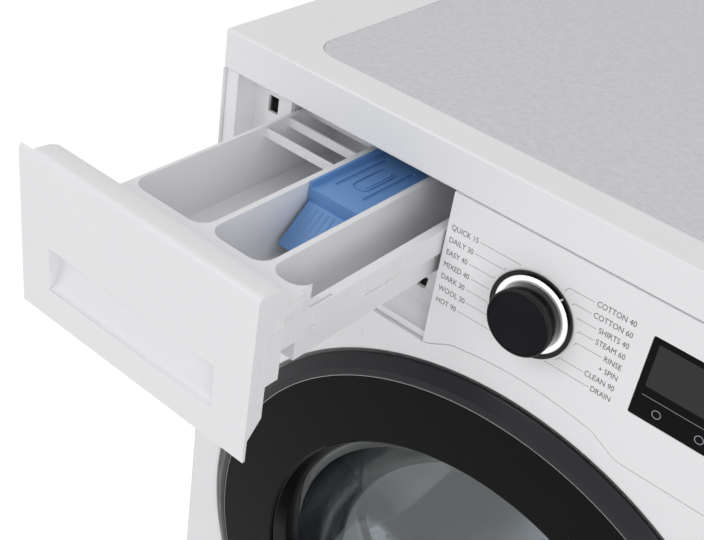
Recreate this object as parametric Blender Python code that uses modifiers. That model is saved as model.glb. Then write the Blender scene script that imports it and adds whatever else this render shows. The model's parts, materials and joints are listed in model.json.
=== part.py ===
"""Front-loading washing machine with its detergent drawer pulled out.

Every separate piece is one object.  X is the width, +Y points to the back and +Z is up.
Sizes are millimetres times MM.  Depths are counted from the cabinet's front plane.
"""
import math

import bmesh
import bpy
from mathutils import Matrix, Vector

MM = 0.001

# ---- overall sizes ----------------------------------------------------------------------------
WIDTH = 600 * MM
DEPTH = 550 * MM
HEIGHT = 850 * MM
PULL_OUT = 185 * MM          # how far the drawer stands out; it closes by this much
FOOT_HEIGHT = 20 * MM        # floor to the underside of the base

# ---- sheet and wall thicknesses, gaps ---------------------------------------------------------
SHEET = 1.0 * MM
PLASTIC = 2.5 * MM
TOUCH = 0.3 * MM             # between pieces that touch
SEAM = 0.7 * MM              # visible line between covers
DOOR_FACETS = 64             # flats around the door's rings
TUB_FACETS = 40              # flats around the tub and drum
DIAL_FACETS = 40

# ---- worktop ----------------------------------------------------------------------------------
WORKTOP_HEIGHT = 31.5 * MM
INLAY_SIDE = 57 * MM
INLAY_FRONT = 30.5 * MM
INLAY_BACK = 40 * MM
INLAY_CORNER = 22 * MM
INLAY_THICK = 4 * MM
INLAY_DROP = 0.8 * MM

# ---- control panel and drawer opening ---------------------------------------------------------
FASCIA_HEIGHT = 128 * MM     # from the worktop's underside down to the straight lower border
FASCIA_DEPTH = 24 * MM
OPENING_LEFT = 12 * MM       # strip left of the drawer opening
OPENING_WIDTH = 206 * MM
ARCH_RISE = 17.2 * MM        # the lower border rises over the door
ARCH_RADIUS = 272 * MM
ARCH_HALF = 52 * MM
SHOULDER = 32 * MM           # width of the S-shaped run from arch to straight border

# ---- programme dial and display ---------------------------------------------------------------
DIAL_X = -6 * MM
DIAL_DROP = 57.3 * MM        # dial centre below the panel's top
DIAL_RING_R = 31.9 * MM
DIAL_LIGHT_R = 28.4 * MM
KNOB_R = 24.2 * MM
KNOB_PROUD = 17 * MM
KNOB_SHAFT_R = 3.5 * MM
DISPLAY_LEFT = 76 * MM
DISPLAY_WIDTH = 186 * MM
DISPLAY_HEIGHT = 62.3 * MM
DISPLAY_DROP = 24 * MM

# ---- drawer -----------------------------------------------------------------------------------
DRAWER_SKIN = 2.6 * MM
DRAWER_SHELL = 13.5 * MM     # depth of the front's lower side
DRAWER_CAP = 24.5 * MM       # depth of the front's upper side
DRAWER_ROUND = 5 * MM
TRAY_DROP = 21 * MM          # tray rim below the panel's top
TRAY_DEPTH = 52 * MM
TRAY_LENGTH = 240 * MM
TRAY_WALL = 2.6 * MM
COMPARTMENTS = (67 * MM, 48 * MM, 28 * MM)
DIVIDER = 4.6 * MM
RAIL_DROP = 11 * MM
RAIL_HEIGHT = 20 * MM
RAIL_WIDTH = 4.5 * MM
TRAY_CLEARANCE = 2 * MM      # rail to the panel's side wall
FLANGE = 22 * MM             # tray flange behind the front, before the compartments
POCKET_LEFT = 29 * MM
POCKET_WIDTH = 157 * MM
POCKET_HEIGHT = 33.5 * MM
POCKET_LOW = 26 * MM         # pocket's lower edge above the drawer front's lower edge
POCKET_DEPTH = 11 * MM

# ---- door -------------------------------------------------------------------------------------
DOOR_Z = 418 * MM
DOOR_R = 265 * MM
BEVEL_R = 255 * MM
GLASS_R = 249 * MM
WINDOW_R = 190 * MM
WELL_R = 268 * MM            # round seat pressed into the front panel for the door
WELL_DEPTH = 10 * MM
MOUTH_R = 210 * MM           # opening in the well's floor
DOOR_AXIS_INSET = 8 * MM     # hinge axis inside the ring's left edge
DOOR_FACE = 8 * MM           # how far the glass stands proud
DOOR_REAR = 7.5 * MM         # ring's rear face, inside the well
KNUCKLE_R = 3.5 * MM
HINGE_D = 1 * MM

# ---- washing group ----------------------------------------------------------------------------
TUB_R = 283 * MM
TUB_WALL = 3 * MM
TUB_FRONT_D = 108 * MM
TUB_SPLIT_D = 250 * MM
TUB_BACK_D = 460 * MM
DRUM_R = 248 * MM
DRUM_SHEET = 1.6 * MM
DRUM_FRONT_D = 124 * MM
DRUM_LENGTH = 312 * MM
DRUM_MOUTH_R = 192 * MM
SHAFT_R = 12 * MM
BEARING_R = 31 * MM
BEARING_LONG = 14 * MM
PULLEY_R = 150 * MM
PULLEY_D = 504 * MM
PULLEY_WIDE = 12 * MM
MOTOR_PULLEY_R = 12 * MM
MOTOR_X = -110 * MM
MOTOR_Z = 92 * MM
MOTOR_R = 50 * MM
MOTOR_LONG = 95 * MM
BELT_THICK = 3 * MM

# ---- derived places ---------------------------------------------------------------------------
FRONT_Y = (PULL_OUT - DEPTH) / 2
HALF = WIDTH / 2
PANEL_TOP = HEIGHT - WORKTOP_HEIGHT - TOUCH
BORDER_Z = PANEL_TOP - FASCIA_HEIGHT
OPENING_X0 = -HALF + OPENING_LEFT
OPENING_X1 = OPENING_X0 + OPENING_WIDTH
DIAL_Z = PANEL_TOP - DIAL_DROP
HINGE_X = -DOOR_R + DOOR_AXIS_INSET
GLASS_SEAT = -DOOR_FACE + 2.6 * MM
DRUM_BACK_D = DRUM_FRONT_D + DRUM_LENGTH

FINISHES = {
    "white_enamel": ("#EFEFF0", 0.30, 0.0),
    "white_plastic": ("#F3F3F4", 0.35, 0.0),
    "grey_laminate": ("#DADADC", 0.55, 0.0),
    "blue_plastic": ("#6E97CC", 0.35, 0.0),
    "black_plastic": ("#1D1C21", 0.28, 0.0),
    "black_glass": ("#050507", 0.06, 0.0),
    "clear_glass": ("#C9D2D4", 0.04, 0.0),
    "silver_trim": ("#DCDCDE", 0.30, 0.6),
    "steel": ("#B9BCC0", 0.30, 1.0),
    "aluminium": ("#A9ABAE", 0.40, 1.0),
    "grey_rubber": ("#8C8D90", 0.65, 0.0),
    "black_rubber": ("#1B1B1C", 0.70, 0.0),
    "tub_plastic": ("#D3D3CE", 0.50, 0.0),
    "concrete": ("#8F8C86", 0.90, 0.0),
    "circuit": ("#2E5B3A", 0.50, 0.0),
}


def depth(distance):
    """World Y of a distance behind the cabinet's front plane."""
    return FRONT_Y + distance


# ---- building tools ---------------------------------------------------------------------------
def clear_scene():
    for obj in list(bpy.data.objects):
        bpy.data.objects.remove(obj, do_unlink=True)
    for old in list(bpy.data.collections):
        bpy.data.collections.remove(old)


def linear(hex_colour):
    channels = [int(hex_colour[i:i + 2], 16) / 255 for i in (1, 3, 5)]
    return [c / 12.92 if c <= 0.04045 else ((c + 0.055) / 1.055) ** 2.4 for c in channels]


def new_collection(name):
    made = bpy.data.collections.new(name)
    bpy.context.scene.collection.children.link(made)
    return made


def dress(obj, name, finish):
    """Give the piece a material of its own in the named finish."""
    colour, roughness, metallic = FINISHES[finish]
    material = bpy.data.materials.new(name + "_" + finish)
    material.use_nodes = True
    shader = material.node_tree.nodes["Principled BSDF"]
    shader.inputs["Base Color"].default_value = linear(colour) + [1.0]
    shader.inputs["Roughness"].default_value = roughness
    shader.inputs["Metallic"].default_value = metallic
    obj.data.materials.clear()
    obj.data.materials.append(material)
    material.diffuse_color = linear(colour) + [1.0]


def smooth(obj, degrees=35):
    obj.data.shade_smooth()
    obj.data.set_sharp_from_angle(angle=math.radians(degrees))


def place(obj, finish=None, name=None):
    """Link a finished piece into the machine's collection, or a cutter into its own."""
    if finish is None:
        CUTTERS.objects.link(obj)
        obj.hide_render = True
        obj.display_type = "WIRE"
    else:
        obj.name = name
        obj.data.name = name
        MACHINE.objects.link(obj)
        dress(obj, name, finish)
    return obj


def flat(obj):
    """The object as a plain mesh, with its modifiers applied and its caps welded."""
    bpy.context.scene.collection.objects.link(obj)
    bpy.context.view_layer.update()
    evaluated = obj.evaluated_get(bpy.context.evaluated_depsgraph_get())
    mesh = bpy.data.meshes.new_from_object(evaluated)
    matrix = obj.matrix_world.copy()
    bpy.data.objects.remove(obj, do_unlink=True)
    work = bmesh.new()
    work.from_mesh(mesh)
    bmesh.ops.remove_doubles(work, verts=work.verts, dist=0.000001)
    bmesh.ops.recalc_face_normals(work, faces=work.faces)
    work.to_mesh(mesh)
    work.free()
    made = bpy.data.objects.new("piece", mesh)
    made.matrix_world = matrix
    return made


def block(low, high, bevel=0.0, segments=2):
    """A box between two corners, its edges rounded by bevel."""
    size = Vector(high) - Vector(low)
    middle = (Vector(high) + Vector(low)) / 2
    work = bmesh.new()
    bmesh.ops.create_cube(work, size=1.0, matrix=Matrix.Diagonal((*size, 1.0)))
    if bevel:
        bmesh.ops.bevel(work, geom=work.edges[:], offset=bevel, segments=segments,
                        affect="EDGES", profile=0.5, clamp_overlap=True)
    mesh = bpy.data.meshes.new("block")
    work.to_mesh(mesh)
    work.free()
    made = bpy.data.objects.new("block", mesh)
    made.location = middle
    return made


def rod(start, end, radius, segments=24, end_radius=None):
    """A round bar between two points, tapered when end_radius differs."""
    start, end = Vector(start), Vector(end)
    work = bmesh.new()
    bmesh.ops.create_cone(work, cap_ends=True, segments=segments, radius1=radius,
                          radius2=radius if end_radius is None else end_radius,
                          depth=(end - start).length)
    mesh = bpy.data.meshes.new("rod")
    work.to_mesh(mesh)
    work.free()
    made = bpy.data.objects.new("rod", mesh)
    made.location = (start + end) / 2
    made.rotation_euler = (end - start).to_track_quat("Z", "Y").to_euler()
    smooth(made)
    return made


def turned(profile, centre, axis="Y", segments=64):
    """A closed profile of (radius, distance along the axis) turned about the axis."""
    area = sum(a[0] * b[1] - b[0] * a[1] for a, b in zip(profile, profile[1:] + profile[:1]))
    points = profile if area < 0 else profile[::-1]
    on_axis = any(point[0] == 0 for point in points)
    if on_axis:
        first = next(i for i, p in enumerate(points) if p[0] == 0 and points[i - 1][0] == 0)
        points = points[first:] + points[:first]
    mesh = bpy.data.meshes.new("turned")
    edges = [(i, i + 1) for i in range(len(points) - 1)]
    if not on_axis:
        edges.append((len(points) - 1, 0))
    mesh.from_pydata([(r, 0, h) for r, h in points], edges, [])
    made = bpy.data.objects.new("turned", mesh)
    screw = made.modifiers.new("turn", "SCREW")
    screw.steps = screw.render_steps = segments
    screw.use_merge_vertices = True
    screw.merge_threshold = 0.00001
    if axis == "Y":
        made.rotation_euler = (-math.pi / 2, 0, 0)
    made.location = centre
    made = flat(made)
    smooth(made)
    return made


def plate(loops, thickness, plane, offset):
    """A flat piece cut to an outline, with holes; offset is its middle along the thickness."""
    curve = bpy.data.curves.new("plate", "CURVE")
    curve.dimensions = "2D"
    curve.fill_mode = "BOTH"
    curve.extrude = thickness / 2
    for loop in loops:
        spline = curve.splines.new("POLY")
        spline.points.add(len(loop) - 1)
        for point, (u, v) in zip(spline.points, loop):
            point.co = (u, v, 0, 1)
        spline.use_cyclic_u = True
    made = bpy.data.objects.new("plate", curve)
    if plane == "XZ":
        made.matrix_world = Matrix.Translation((0, offset, 0)) @ Matrix.Rotation(math.pi / 2, 4, "X")
    elif plane == "YZ":
        turn = Matrix(((0, 0, 1, 0), (1, 0, 0, 0), (0, 1, 0, 0), (0, 0, 0, 1)))
        made.matrix_world = Matrix.Translation((offset, 0, 0)) @ turn
    else:
        made.location = (0, 0, offset)
    return flat(made)


def cut(obj, cutter):
    boolean = obj.modifiers.new("cut", "BOOLEAN")
    boolean.operation = "DIFFERENCE"
    boolean.object = place(cutter)
    return obj


def join(obj, other):
    boolean = obj.modifiers.new("join", "BOOLEAN")
    boolean.operation = "UNION"
    boolean.object = place(other)
    return obj


def arc(cx, cy, radius, start, end, count):
    """Points on a circle from start to end degrees, both included."""
    step = (end - start) / (count - 1)
    return [(cx + radius * math.cos(math.radians(start + i * step)),
             cy + radius * math.sin(math.radians(start + i * step))) for i in range(count)]


def circle(cx, cy, radius, count=48):
    return arc(cx, cy, radius, 0, 360 * (count - 1) / count, count)


def rounded(x0, y0, x1, y1, radius, count=5):
    return (arc(x1 - radius, y0 + radius, radius, -90, 0, count)
            + arc(x1 - radius, y1 - radius, radius, 0, 90, count)
            + arc(x0 + radius, y1 - radius, radius, 90, 180, count)
            + arc(x0 + radius, y0 + radius, radius, 180, 270, count))


def pivot(name, location):
    """An empty on a joint's axis, which carries the pieces that turn or slide with it."""
    empty = bpy.data.objects.new(name, None)
    empty.location = location
    empty.empty_display_size = 0.03
    MACHINE.objects.link(empty)
    return empty


def carry(empty, *pieces):
    for piece in pieces:
        piece.parent = empty
        piece.matrix_parent_inverse = Matrix.Translation(empty.location).inverted()


# ---- cabinet ----------------------------------------------------------------------------------
def side_panel(side, name):
    """Bent sheet: the side wall with a rear flange, and a hanger for the tub spring."""
    outer, inner = side * HALF, side * (HALF - SHEET)
    lip = side * (HALF - 20 * MM)
    back = depth(DEPTH - SHEET - TOUCH)
    outline = [(outer, depth(0)), (inner, depth(0)), (inner, back - SHEET), (lip, back - SHEET),
               (lip, back), (outer, back)]
    low, high = FOOT_HEIGHT, PANEL_TOP
    panel = plate([outline], high - low, "XY", (low + high) / 2)
    xs = sorted((side * (HALF - SHEET / 2), side * (HALF - 62 * MM)))
    join(panel, block((xs[0], depth(SPRING_D - 9 * MM), SPRING_TOP), (xs[1], depth(SPRING_D + 9 * MM),
                                                                     SPRING_TOP + 3 * MM)))
    return place(panel, "white_enamel", name)


def back_panel():
    """Flat sheet with a large service opening closed by the rear cover."""
    x = HALF - TOUCH
    outline = rounded(-x, FOOT_HEIGHT, x, PANEL_TOP, 4 * MM, 3)
    hole = circle(0, DOOR_Z, COVER_R - 12 * MM)
    panel = plate([outline, hole], SHEET, "XZ", depth(DEPTH - SHEET / 2))
    cut(panel, rod((WATER_X, depth(DEPTH - 9 * MM), WATER_Z), (WATER_X, depth(DEPTH + 9 * MM), WATER_Z),
                   17 * MM))
    cut(panel, rod((DRAIN_X, depth(DEPTH - 9 * MM), DRAIN_Z), (DRAIN_X, depth(DEPTH + 9 * MM), DRAIN_Z),
                   15 * MM))
    cut(panel, rod((MAINS_X, depth(DEPTH - 9 * MM), MAINS_Z), (MAINS_X, depth(DEPTH + 9 * MM), MAINS_Z),
                   9 * MM))
    return place(panel, "white_enamel", "back_panel")


def rear_cover():
    """Pressed dish over the belt drive, seated inside the back panel's opening."""
    inner = DEPTH - SHEET - TOUCH
    profile = [(0, inner), (COVER_R, inner), (COVER_R, inner - SHEET),
               (COVER_R - 14 * MM, inner - SHEET), (0, inner - SHEET)]
    cover = turned(profile, (0, depth(0), DOOR_Z), segments=TUB_FACETS)
    return place(cover, "white_enamel", "rear_cover")


def base_pan():
    """Shallow tray that carries the feet, the dampers and the pump."""
    x = HALF - SHEET - TOUCH
    front, back = depth(FLANGE_FRONT + TOUCH), depth(DEPTH - 2 * SHEET - 2 * TOUCH)
    pan = block((-x, front, FOOT_HEIGHT), (x, back, FOOT_HEIGHT + 26 * MM))
    wall = 1.5 * MM
    cut(pan, block((-x + wall, front + wall, FOOT_HEIGHT + 2 * MM), (x - wall, back - wall, 0.1)))
    for fx, fd in FOOT_PLACES:
        cut(pan, rod((fx, depth(fd), 0), (fx, depth(fd), 0.1), FOOT_STUD_R + TOUCH))
    return place(pan, "steel", "base_pan")


def border(x, inset=0.0):
    """Height of the panel's lower border: straight, then an arch over the door."""
    reach = abs(x)
    top = BORDER_Z + ARCH_RISE
    crown = math.sqrt(ARCH_RADIUS ** 2 - min(reach, ARCH_HALF) ** 2) - ARCH_RADIUS
    if reach <= ARCH_HALF:
        return top + crown + inset
    share = min((reach - ARCH_HALF) / SHOULDER, 1.0)
    ease = 0.5 + 0.5 * math.cos(math.pi * share)
    return BORDER_Z + (ARCH_RISE + crown) * ease + inset


def border_run(x0, x1, inset=0.0):
    """Points along the lower border from x0 to x1, where it bends."""
    bend = ARCH_HALF + SHOULDER
    xs = [x0] + [-bend + i * 2 * bend / 24 for i in range(25)] + [x1]
    return [(x, border(x, inset)) for x in xs if min(x0, x1) <= x <= max(x0, x1)]


def flap_outline(inset):
    """The pump flap's outline: nearly square below, where it turns, and round above."""
    x0, x1 = FLAP_X0 + inset, FLAP_X1 - inset
    low, top = FLAP_Z0 + inset, FLAP_Z1 - inset
    radius, small = FLAP_CORNER - inset, FLAP_FOOT_CORNER
    return (arc(x0 + small, low + small, small, 180, 270, 3)
            + arc(x1 - small, low + small, small, 270, 360, 3)
            + arc(x1 - radius, top - radius, radius, 0, 90, 5)
            + arc(x0 + radius, top - radius, radius, 90, 180, 5))


def front_panel():
    """Enamelled front sheet with returned edges, the door's well and the pump flap's opening."""
    x = HALF - SHEET - TOUCH
    low = FOOT_HEIGHT + 1 * MM
    outline = [(-x, low), (x, low)] + border_run(-x, x, -SEAM)[::-1]
    mid = FLANGE_FRONT / 2
    hole = circle(0, DOOR_Z, WELL_R + SHEET / 2, DOOR_FACETS)
    panel = plate([outline, hole], FLANGE_FRONT, "XZ", depth(mid))
    inner = [(-x + SHEET, low + SHEET), (x - SHEET, low + SHEET)]
    inner += border_run(-x + SHEET, x - SHEET, -SEAM - SHEET)[::-1]
    cut(panel, plate([inner], FLANGE_FRONT, "XZ", depth(mid + SHEET)))
    floor = WELL_DEPTH
    well = [(WELL_R, 0.2 * MM), (WELL_R, floor), (MOUTH_R, floor), (MOUTH_R, floor + 8 * MM),
            (MOUTH_R + SHEET, floor + 8 * MM), (MOUTH_R + SHEET, floor + SHEET),
            (WELL_R + SHEET, floor + SHEET), (WELL_R + SHEET, 0.2 * MM)]
    join(panel, turned(well, (0, depth(0), DOOR_Z), segments=DOOR_FACETS))
    cut(panel, plate([flap_outline(0)], 8 * MM, "XZ", depth(0)))
    cut(panel, block((LATCH_X - 8 * MM, depth(floor - 4 * MM), DOOR_Z - 17 * MM),
                     (LATCH_X + 11 * MM, depth(floor + 4 * MM), DOOR_Z + 17 * MM)))
    return place(panel, "white_enamel", "front_panel")


def worktop_frame():
    """Moulded rim of the worktop with a sunk seat for the inlay board."""
    low = HEIGHT - WORKTOP_HEIGHT
    frame = block((-HALF, depth(0), low), (HALF, depth(DEPTH), HEIGHT), 1.6 * MM, 2)
    seat = rounded(-HALF + INLAY_SIDE, depth(INLAY_FRONT), HALF - INLAY_SIDE,
                   depth(DEPTH - INLAY_BACK), INLAY_CORNER, 7)
    drop = INLAY_DROP + INLAY_THICK + TOUCH
    cut(frame, plate([seat], 2 * drop, "XY", HEIGHT))
    ledge = 14 * MM
    cut(frame, block((-HALF + INLAY_SIDE + ledge, depth(INLAY_FRONT + ledge), low - 1 * MM),
                     (HALF - INLAY_SIDE - ledge, depth(DEPTH - INLAY_BACK - ledge), HEIGHT)))
    return place(frame, "white_plastic", "worktop_frame")


def worktop_inlay():
    outline = rounded(-HALF + INLAY_SIDE + TOUCH, depth(INLAY_FRONT) + TOUCH,
                      HALF - INLAY_SIDE - TOUCH, depth(DEPTH - INLAY_BACK) - TOUCH,
                      INLAY_CORNER - TOUCH, 7)
    board = plate([outline], INLAY_THICK, "XY", HEIGHT - INLAY_DROP - INLAY_THICK / 2)
    return place(board, "grey_laminate", "worktop_inlay")


# ---- control panel ----------------------------------------------------------------------------
def control_panel():
    """Fascia shell right of the drawer, arched below, with the dial and display openings."""
    left, right = OPENING_X1, HALF - SHEET - TOUCH
    top = PANEL_TOP - TOUCH
    outline = border_run(left, right) + [(right, top), (left, top)]
    shell = plate([outline], FASCIA_DEPTH, "XZ", depth(FASCIA_DEPTH / 2))
    inner = border_run(left + PLASTIC, right - PLASTIC, PLASTIC)
    inner += [(right - PLASTIC, top - PLASTIC), (left + PLASTIC, top - PLASTIC)]
    cut(shell, plate([inner], FASCIA_DEPTH, "XZ", depth(FASCIA_DEPTH / 2 + PLASTIC)))
    cut(shell, rod((DIAL_X, depth(-9 * MM), DIAL_Z), (DIAL_X, depth(9 * MM), DIAL_Z),
                   KNOB_SHAFT_R + 1 * MM))
    top_edge = PANEL_TOP - DISPLAY_DROP
    window = rounded(DISPLAY_LEFT, top_edge - DISPLAY_HEIGHT, DISPLAY_LEFT + DISPLAY_WIDTH, top_edge,
                     1.5 * MM, 3)
    cut(shell, plate([window], 8 * MM, "XZ", depth(0)))
    return place(shell, "white_plastic", "control_panel")


def display_window():
    top_edge = PANEL_TOP - DISPLAY_DROP - TOUCH
    low_edge = PANEL_TOP - DISPLAY_DROP - DISPLAY_HEIGHT + TOUCH
    outline = rounded(DISPLAY_LEFT + TOUCH, low_edge, DISPLAY_LEFT + DISPLAY_WIDTH - TOUCH, top_edge,
                      1.2 * MM, 3)
    pane = plate([outline], 2 * MM, "XZ", depth(0.8 * MM))
    return place(pane, "black_glass", "display_window")


def control_board():
    """Circuit board with its components' outline, behind the display."""
    top_edge = PANEL_TOP - DISPLAY_DROP
    board = block((DISPLAY_LEFT + 4 * MM, depth(9 * MM), top_edge - DISPLAY_HEIGHT - 6 * MM),
                  (DISPLAY_LEFT + DISPLAY_WIDTH - 4 * MM, depth(10.6 * MM), top_edge + 6 * MM))
    for i in range(4):
        x = DISPLAY_LEFT + (24 + 40 * i) * MM
        join(board, block((x, depth(10 * MM), top_edge - 45 * MM),
                          (x + 22 * MM, depth((14 + 2 * (i % 3)) * MM), top_edge - 20 * MM)))
    return place(board, "circuit", "control_board")


def drawer_surround():
    """Recess behind the drawer front: a strip, a left wall and a back wall that curves forward."""
    left, right = OPENING_X0, OPENING_X1 - TOUCH
    strip, back = DRAWER_SKIN + 0.6 * MM, DRAWER_CAP + 1.2 * MM
    top, low = PANEL_TOP - TOUCH, BORDER_Z
    knee, toe = BORDER_Z + 54 * MM, BORDER_Z + 6 * MM
    reach = back - strip - 1.5 * MM
    front_side = [(strip + 1.5 * MM + reach * math.sin(math.radians(a)) ** 1.4,
                   toe + (knee - toe) * (1 - math.cos(math.radians(a)))) for a in range(0, 91, 10)]
    outline = [(depth(strip), low), (depth(strip), toe)]
    outline += [(depth(d), z) for d, z in front_side] + [(depth(back), top)]
    outline += [(depth(back + PLASTIC), top), (depth(back + PLASTIC), knee - PLASTIC)]
    outline += [(depth(d + PLASTIC), z - PLASTIC) for d, z in front_side[-2:0:-1]]
    outline += [(depth(strip + PLASTIC), low)]
    surround = plate([outline], right - left, "YZ", (left + right) / 2)
    edge = -HALF + SHEET + TOUCH
    join(surround, block((edge, depth(strip), low), (left + 1 * MM, depth(strip + PLASTIC), top)))
    join(surround, block((left - PLASTIC, depth(strip + 1 * MM), low), (left, depth(back + PLASTIC), top)))
    mouth = block((TRAY_X0 - 5 * MM, depth(0), TRAY_Z0 - 4 * MM),
                  (right + 5 * MM, depth(back + 9 * MM), TRAY_Z1 + 14 * MM))
    cut(surround, mouth)
    cut(surround, block((left + 14 * MM, depth(back - 4 * MM), TRAY_Z1 - 12 * MM),
                        (left + 24 * MM, depth(back + 9 * MM), TRAY_Z1 + 2 * MM)))
    cut(surround, block((right - 26 * MM, depth(8 * MM), BORDER_Z + 26 * MM),
                        (right - 19 * MM, depth(back + 9 * MM), BORDER_Z + 34 * MM)))
    return place(surround, "white_plastic", "drawer_surround")


def dispenser_housing():
    """Box that the tray slides into, open to the front and covered on top, with an outlet below."""
    front = depth(DRAWER_CAP + 1.2 * MM + PLASTIC + TOUCH)
    x0, x1 = TRAY_X0 - 7 * MM, TRAY_X1 + 5 * MM
    back = depth(HOUSING_BACK)
    low, top = TRAY_Z0 - 12 * MM, HOUSING_TOP
    housing = block((x0, front, low), (x1, back, top))
    join(housing, rod((SPOUT_X, depth(SPOUT_D), low - 16 * MM), (SPOUT_X, depth(SPOUT_D), low + 1 * MM),
                      16 * MM))
    cut(housing, block((x0 + PLASTIC, front - 5 * MM, low + PLASTIC),
                       (x1 - PLASTIC, back - PLASTIC, top + 5 * MM)))
    cut(housing, rod((SPOUT_X, depth(SPOUT_D), low - 30 * MM), (SPOUT_X, depth(SPOUT_D), low + 9 * MM),
                     13 * MM))
    return place(housing, "white_plastic", "dispenser_housing")


def dispenser_cover():
    """Water channel lid on the dispenser housing."""
    front = depth(DRAWER_CAP + 1.2 * MM + PLASTIC + TOUCH)
    x0, x1 = TRAY_X0 - 7 * MM, TRAY_X1 + 5 * MM
    low = HOUSING_TOP + TOUCH
    cover = block((x0, front, low), (x1, depth(HOUSING_BACK), low + 2 * MM))
    return place(cover, "tub_plastic", "dispenser_cover")


def dispenser_hose():
    """Short bellows from the dispenser's outlet to the tub's inlet."""
    top = TRAY_Z0 - 12 * MM - 16 * MM - TOUCH
    low = TUB_INLET_Z + TOUCH
    folds = 4
    outer = []
    for i in range(2 * folds + 1):
        outer.append((15 * MM if i % 2 else 19 * MM, top + (low - top) * i / (2 * folds)))
    inner = [(r - 2 * MM, z) for r, z in outer[::-1]]
    hose = turned(outer + inner, (SPOUT_X, depth(SPOUT_D), 0), "Z", 14)
    return place(hose, "black_rubber", "dispenser_hose")


# ---- drawer -----------------------------------------------------------------------------------
def drawer_front():
    """Front with a rounded top, a stepped side and a scooped handle pocket."""
    face, low, high = depth(-PULL_OUT), BORDER_Z, PANEL_TOP - SEAM
    step, slope = low + 55 * MM, low + 30 * MM
    round_top = arc(DRAWER_ROUND, high - DRAWER_ROUND, DRAWER_ROUND, 180, 90, 5)
    outline = [(DRAWER_SKIN, low), (0.6 * MM, low), (0, low + 0.6 * MM)] + round_top
    outline += [(DRAWER_CAP - 9 * MM, high - 1.2 * MM), (DRAWER_CAP - 2 * MM, high - 4 * MM),
                (DRAWER_CAP, high - 7 * MM), (DRAWER_CAP, step), (DRAWER_SHELL, step),
                (DRAWER_SHELL, slope), (DRAWER_SKIN, slope - 13 * MM)]
    x0, x1 = -HALF + SHEET + TOUCH, OPENING_X1 - SEAM
    front = plate([[(face + d, z) for d, z in outline]], x1 - x0, "YZ", (x0 + x1) / 2)
    deep0 = OPENING_X0 + 1.5 * MM
    cut(front, block((x0 - 5 * MM, face + DRAWER_SKIN, low - 5 * MM), (deep0, face + 0.04, high + 5 * MM)))
    cut(front, pocket_cutter(face))
    return place(front, "white_plastic", "drawer_front")


def pocket_cutter(face):
    """Handle pocket: a rectangular mouth whose floor curves forward at the bottom."""
    left = -HALF + SHEET + TOUCH + POCKET_LEFT
    low = BORDER_Z + POCKET_LOW
    high = low + POCKET_HEIGHT
    floor = [(POCKET_DEPTH * math.sin(math.radians(a)),
              low + POCKET_HEIGHT * 0.9 * (1 - math.cos(math.radians(a)))) for a in range(0, 91, 9)]
    outline = [(face - 5 * MM, low)] + [(face + d, z) for d, z in floor]
    outline += [(face + POCKET_DEPTH, high), (face - 5 * MM, high)]
    return plate([outline], POCKET_WIDTH, "YZ", left + POCKET_WIDTH / 2)


def tray_outline(index):
    """Plan of one compartment with rounded front corners; index counts from the left."""
    x0 = TRAY_X0 + TRAY_WALL + sum(COMPARTMENTS[:index]) + index * DIVIDER
    x1 = x0 + COMPARTMENTS[index]
    y0 = depth(-PULL_OUT + DRAWER_CAP + FLANGE)
    y1 = depth(-PULL_OUT + DRAWER_CAP + TRAY_LENGTH) - TRAY_WALL
    front, rear = 12 * MM, 3 * MM
    return (arc(x0 + front, y0 + front, front, 180, 270, 6)
            + arc(x1 - front, y0 + front, front, 270, 360, 6)
            + arc(x1 - rear, y1 - rear, rear, 0, 90, 3) + arc(x0 + rear, y1 - rear, rear, 90, 180, 3))


def drawer_tray():
    """Three-compartment tray with a lower right wall that carries the running rail."""
    y0 = depth(-PULL_OUT + DRAWER_CAP + TOUCH)
    y1 = depth(-PULL_OUT + DRAWER_CAP + TRAY_LENGTH)
    body_x1 = TRAY_X1 - RAIL_WIDTH
    tray = block((TRAY_X0, y0, TRAY_Z0), (body_x1, y1, TRAY_Z1))
    drop = TRAY_Z1 - RAIL_DROP
    join(tray, block((body_x1 - 1 * MM, y0, drop - RAIL_HEIGHT), (TRAY_X1, y1, drop)))
    cut(tray, block((body_x1 - TRAY_WALL - 0.2 * MM, y0 + FLANGE, drop), (TRAY_X1 + 5 * MM, y1 + 5 * MM,
                                                              TRAY_Z1 + 5 * MM)))
    low = TRAY_Z0 + TRAY_WALL
    for index in range(3):
        cut(tray, plate([tray_outline(index)], TRAY_Z1 + 9 * MM - low, "XY", (TRAY_Z1 + 9 * MM + low) / 2))
    under = block((TRAY_X0 - 1 * MM, y0 - 1 * MM, TRAY_Z0 - 1 * MM),
                  (body_x1 + 1 * MM, y0 + FLANGE - TRAY_WALL, TRAY_Z1 - 14 * MM))
    cut(tray, under)
    return place(tray, "white_plastic", "drawer_tray")


def insert_span():
    """Left and right sides of the middle compartment, where the insert sits."""
    x0 = TRAY_X0 + TRAY_WALL + COMPARTMENTS[0] + DIVIDER + 0.5 * MM
    return x0, x0 + COMPARTMENTS[1] - 1 * MM


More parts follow.
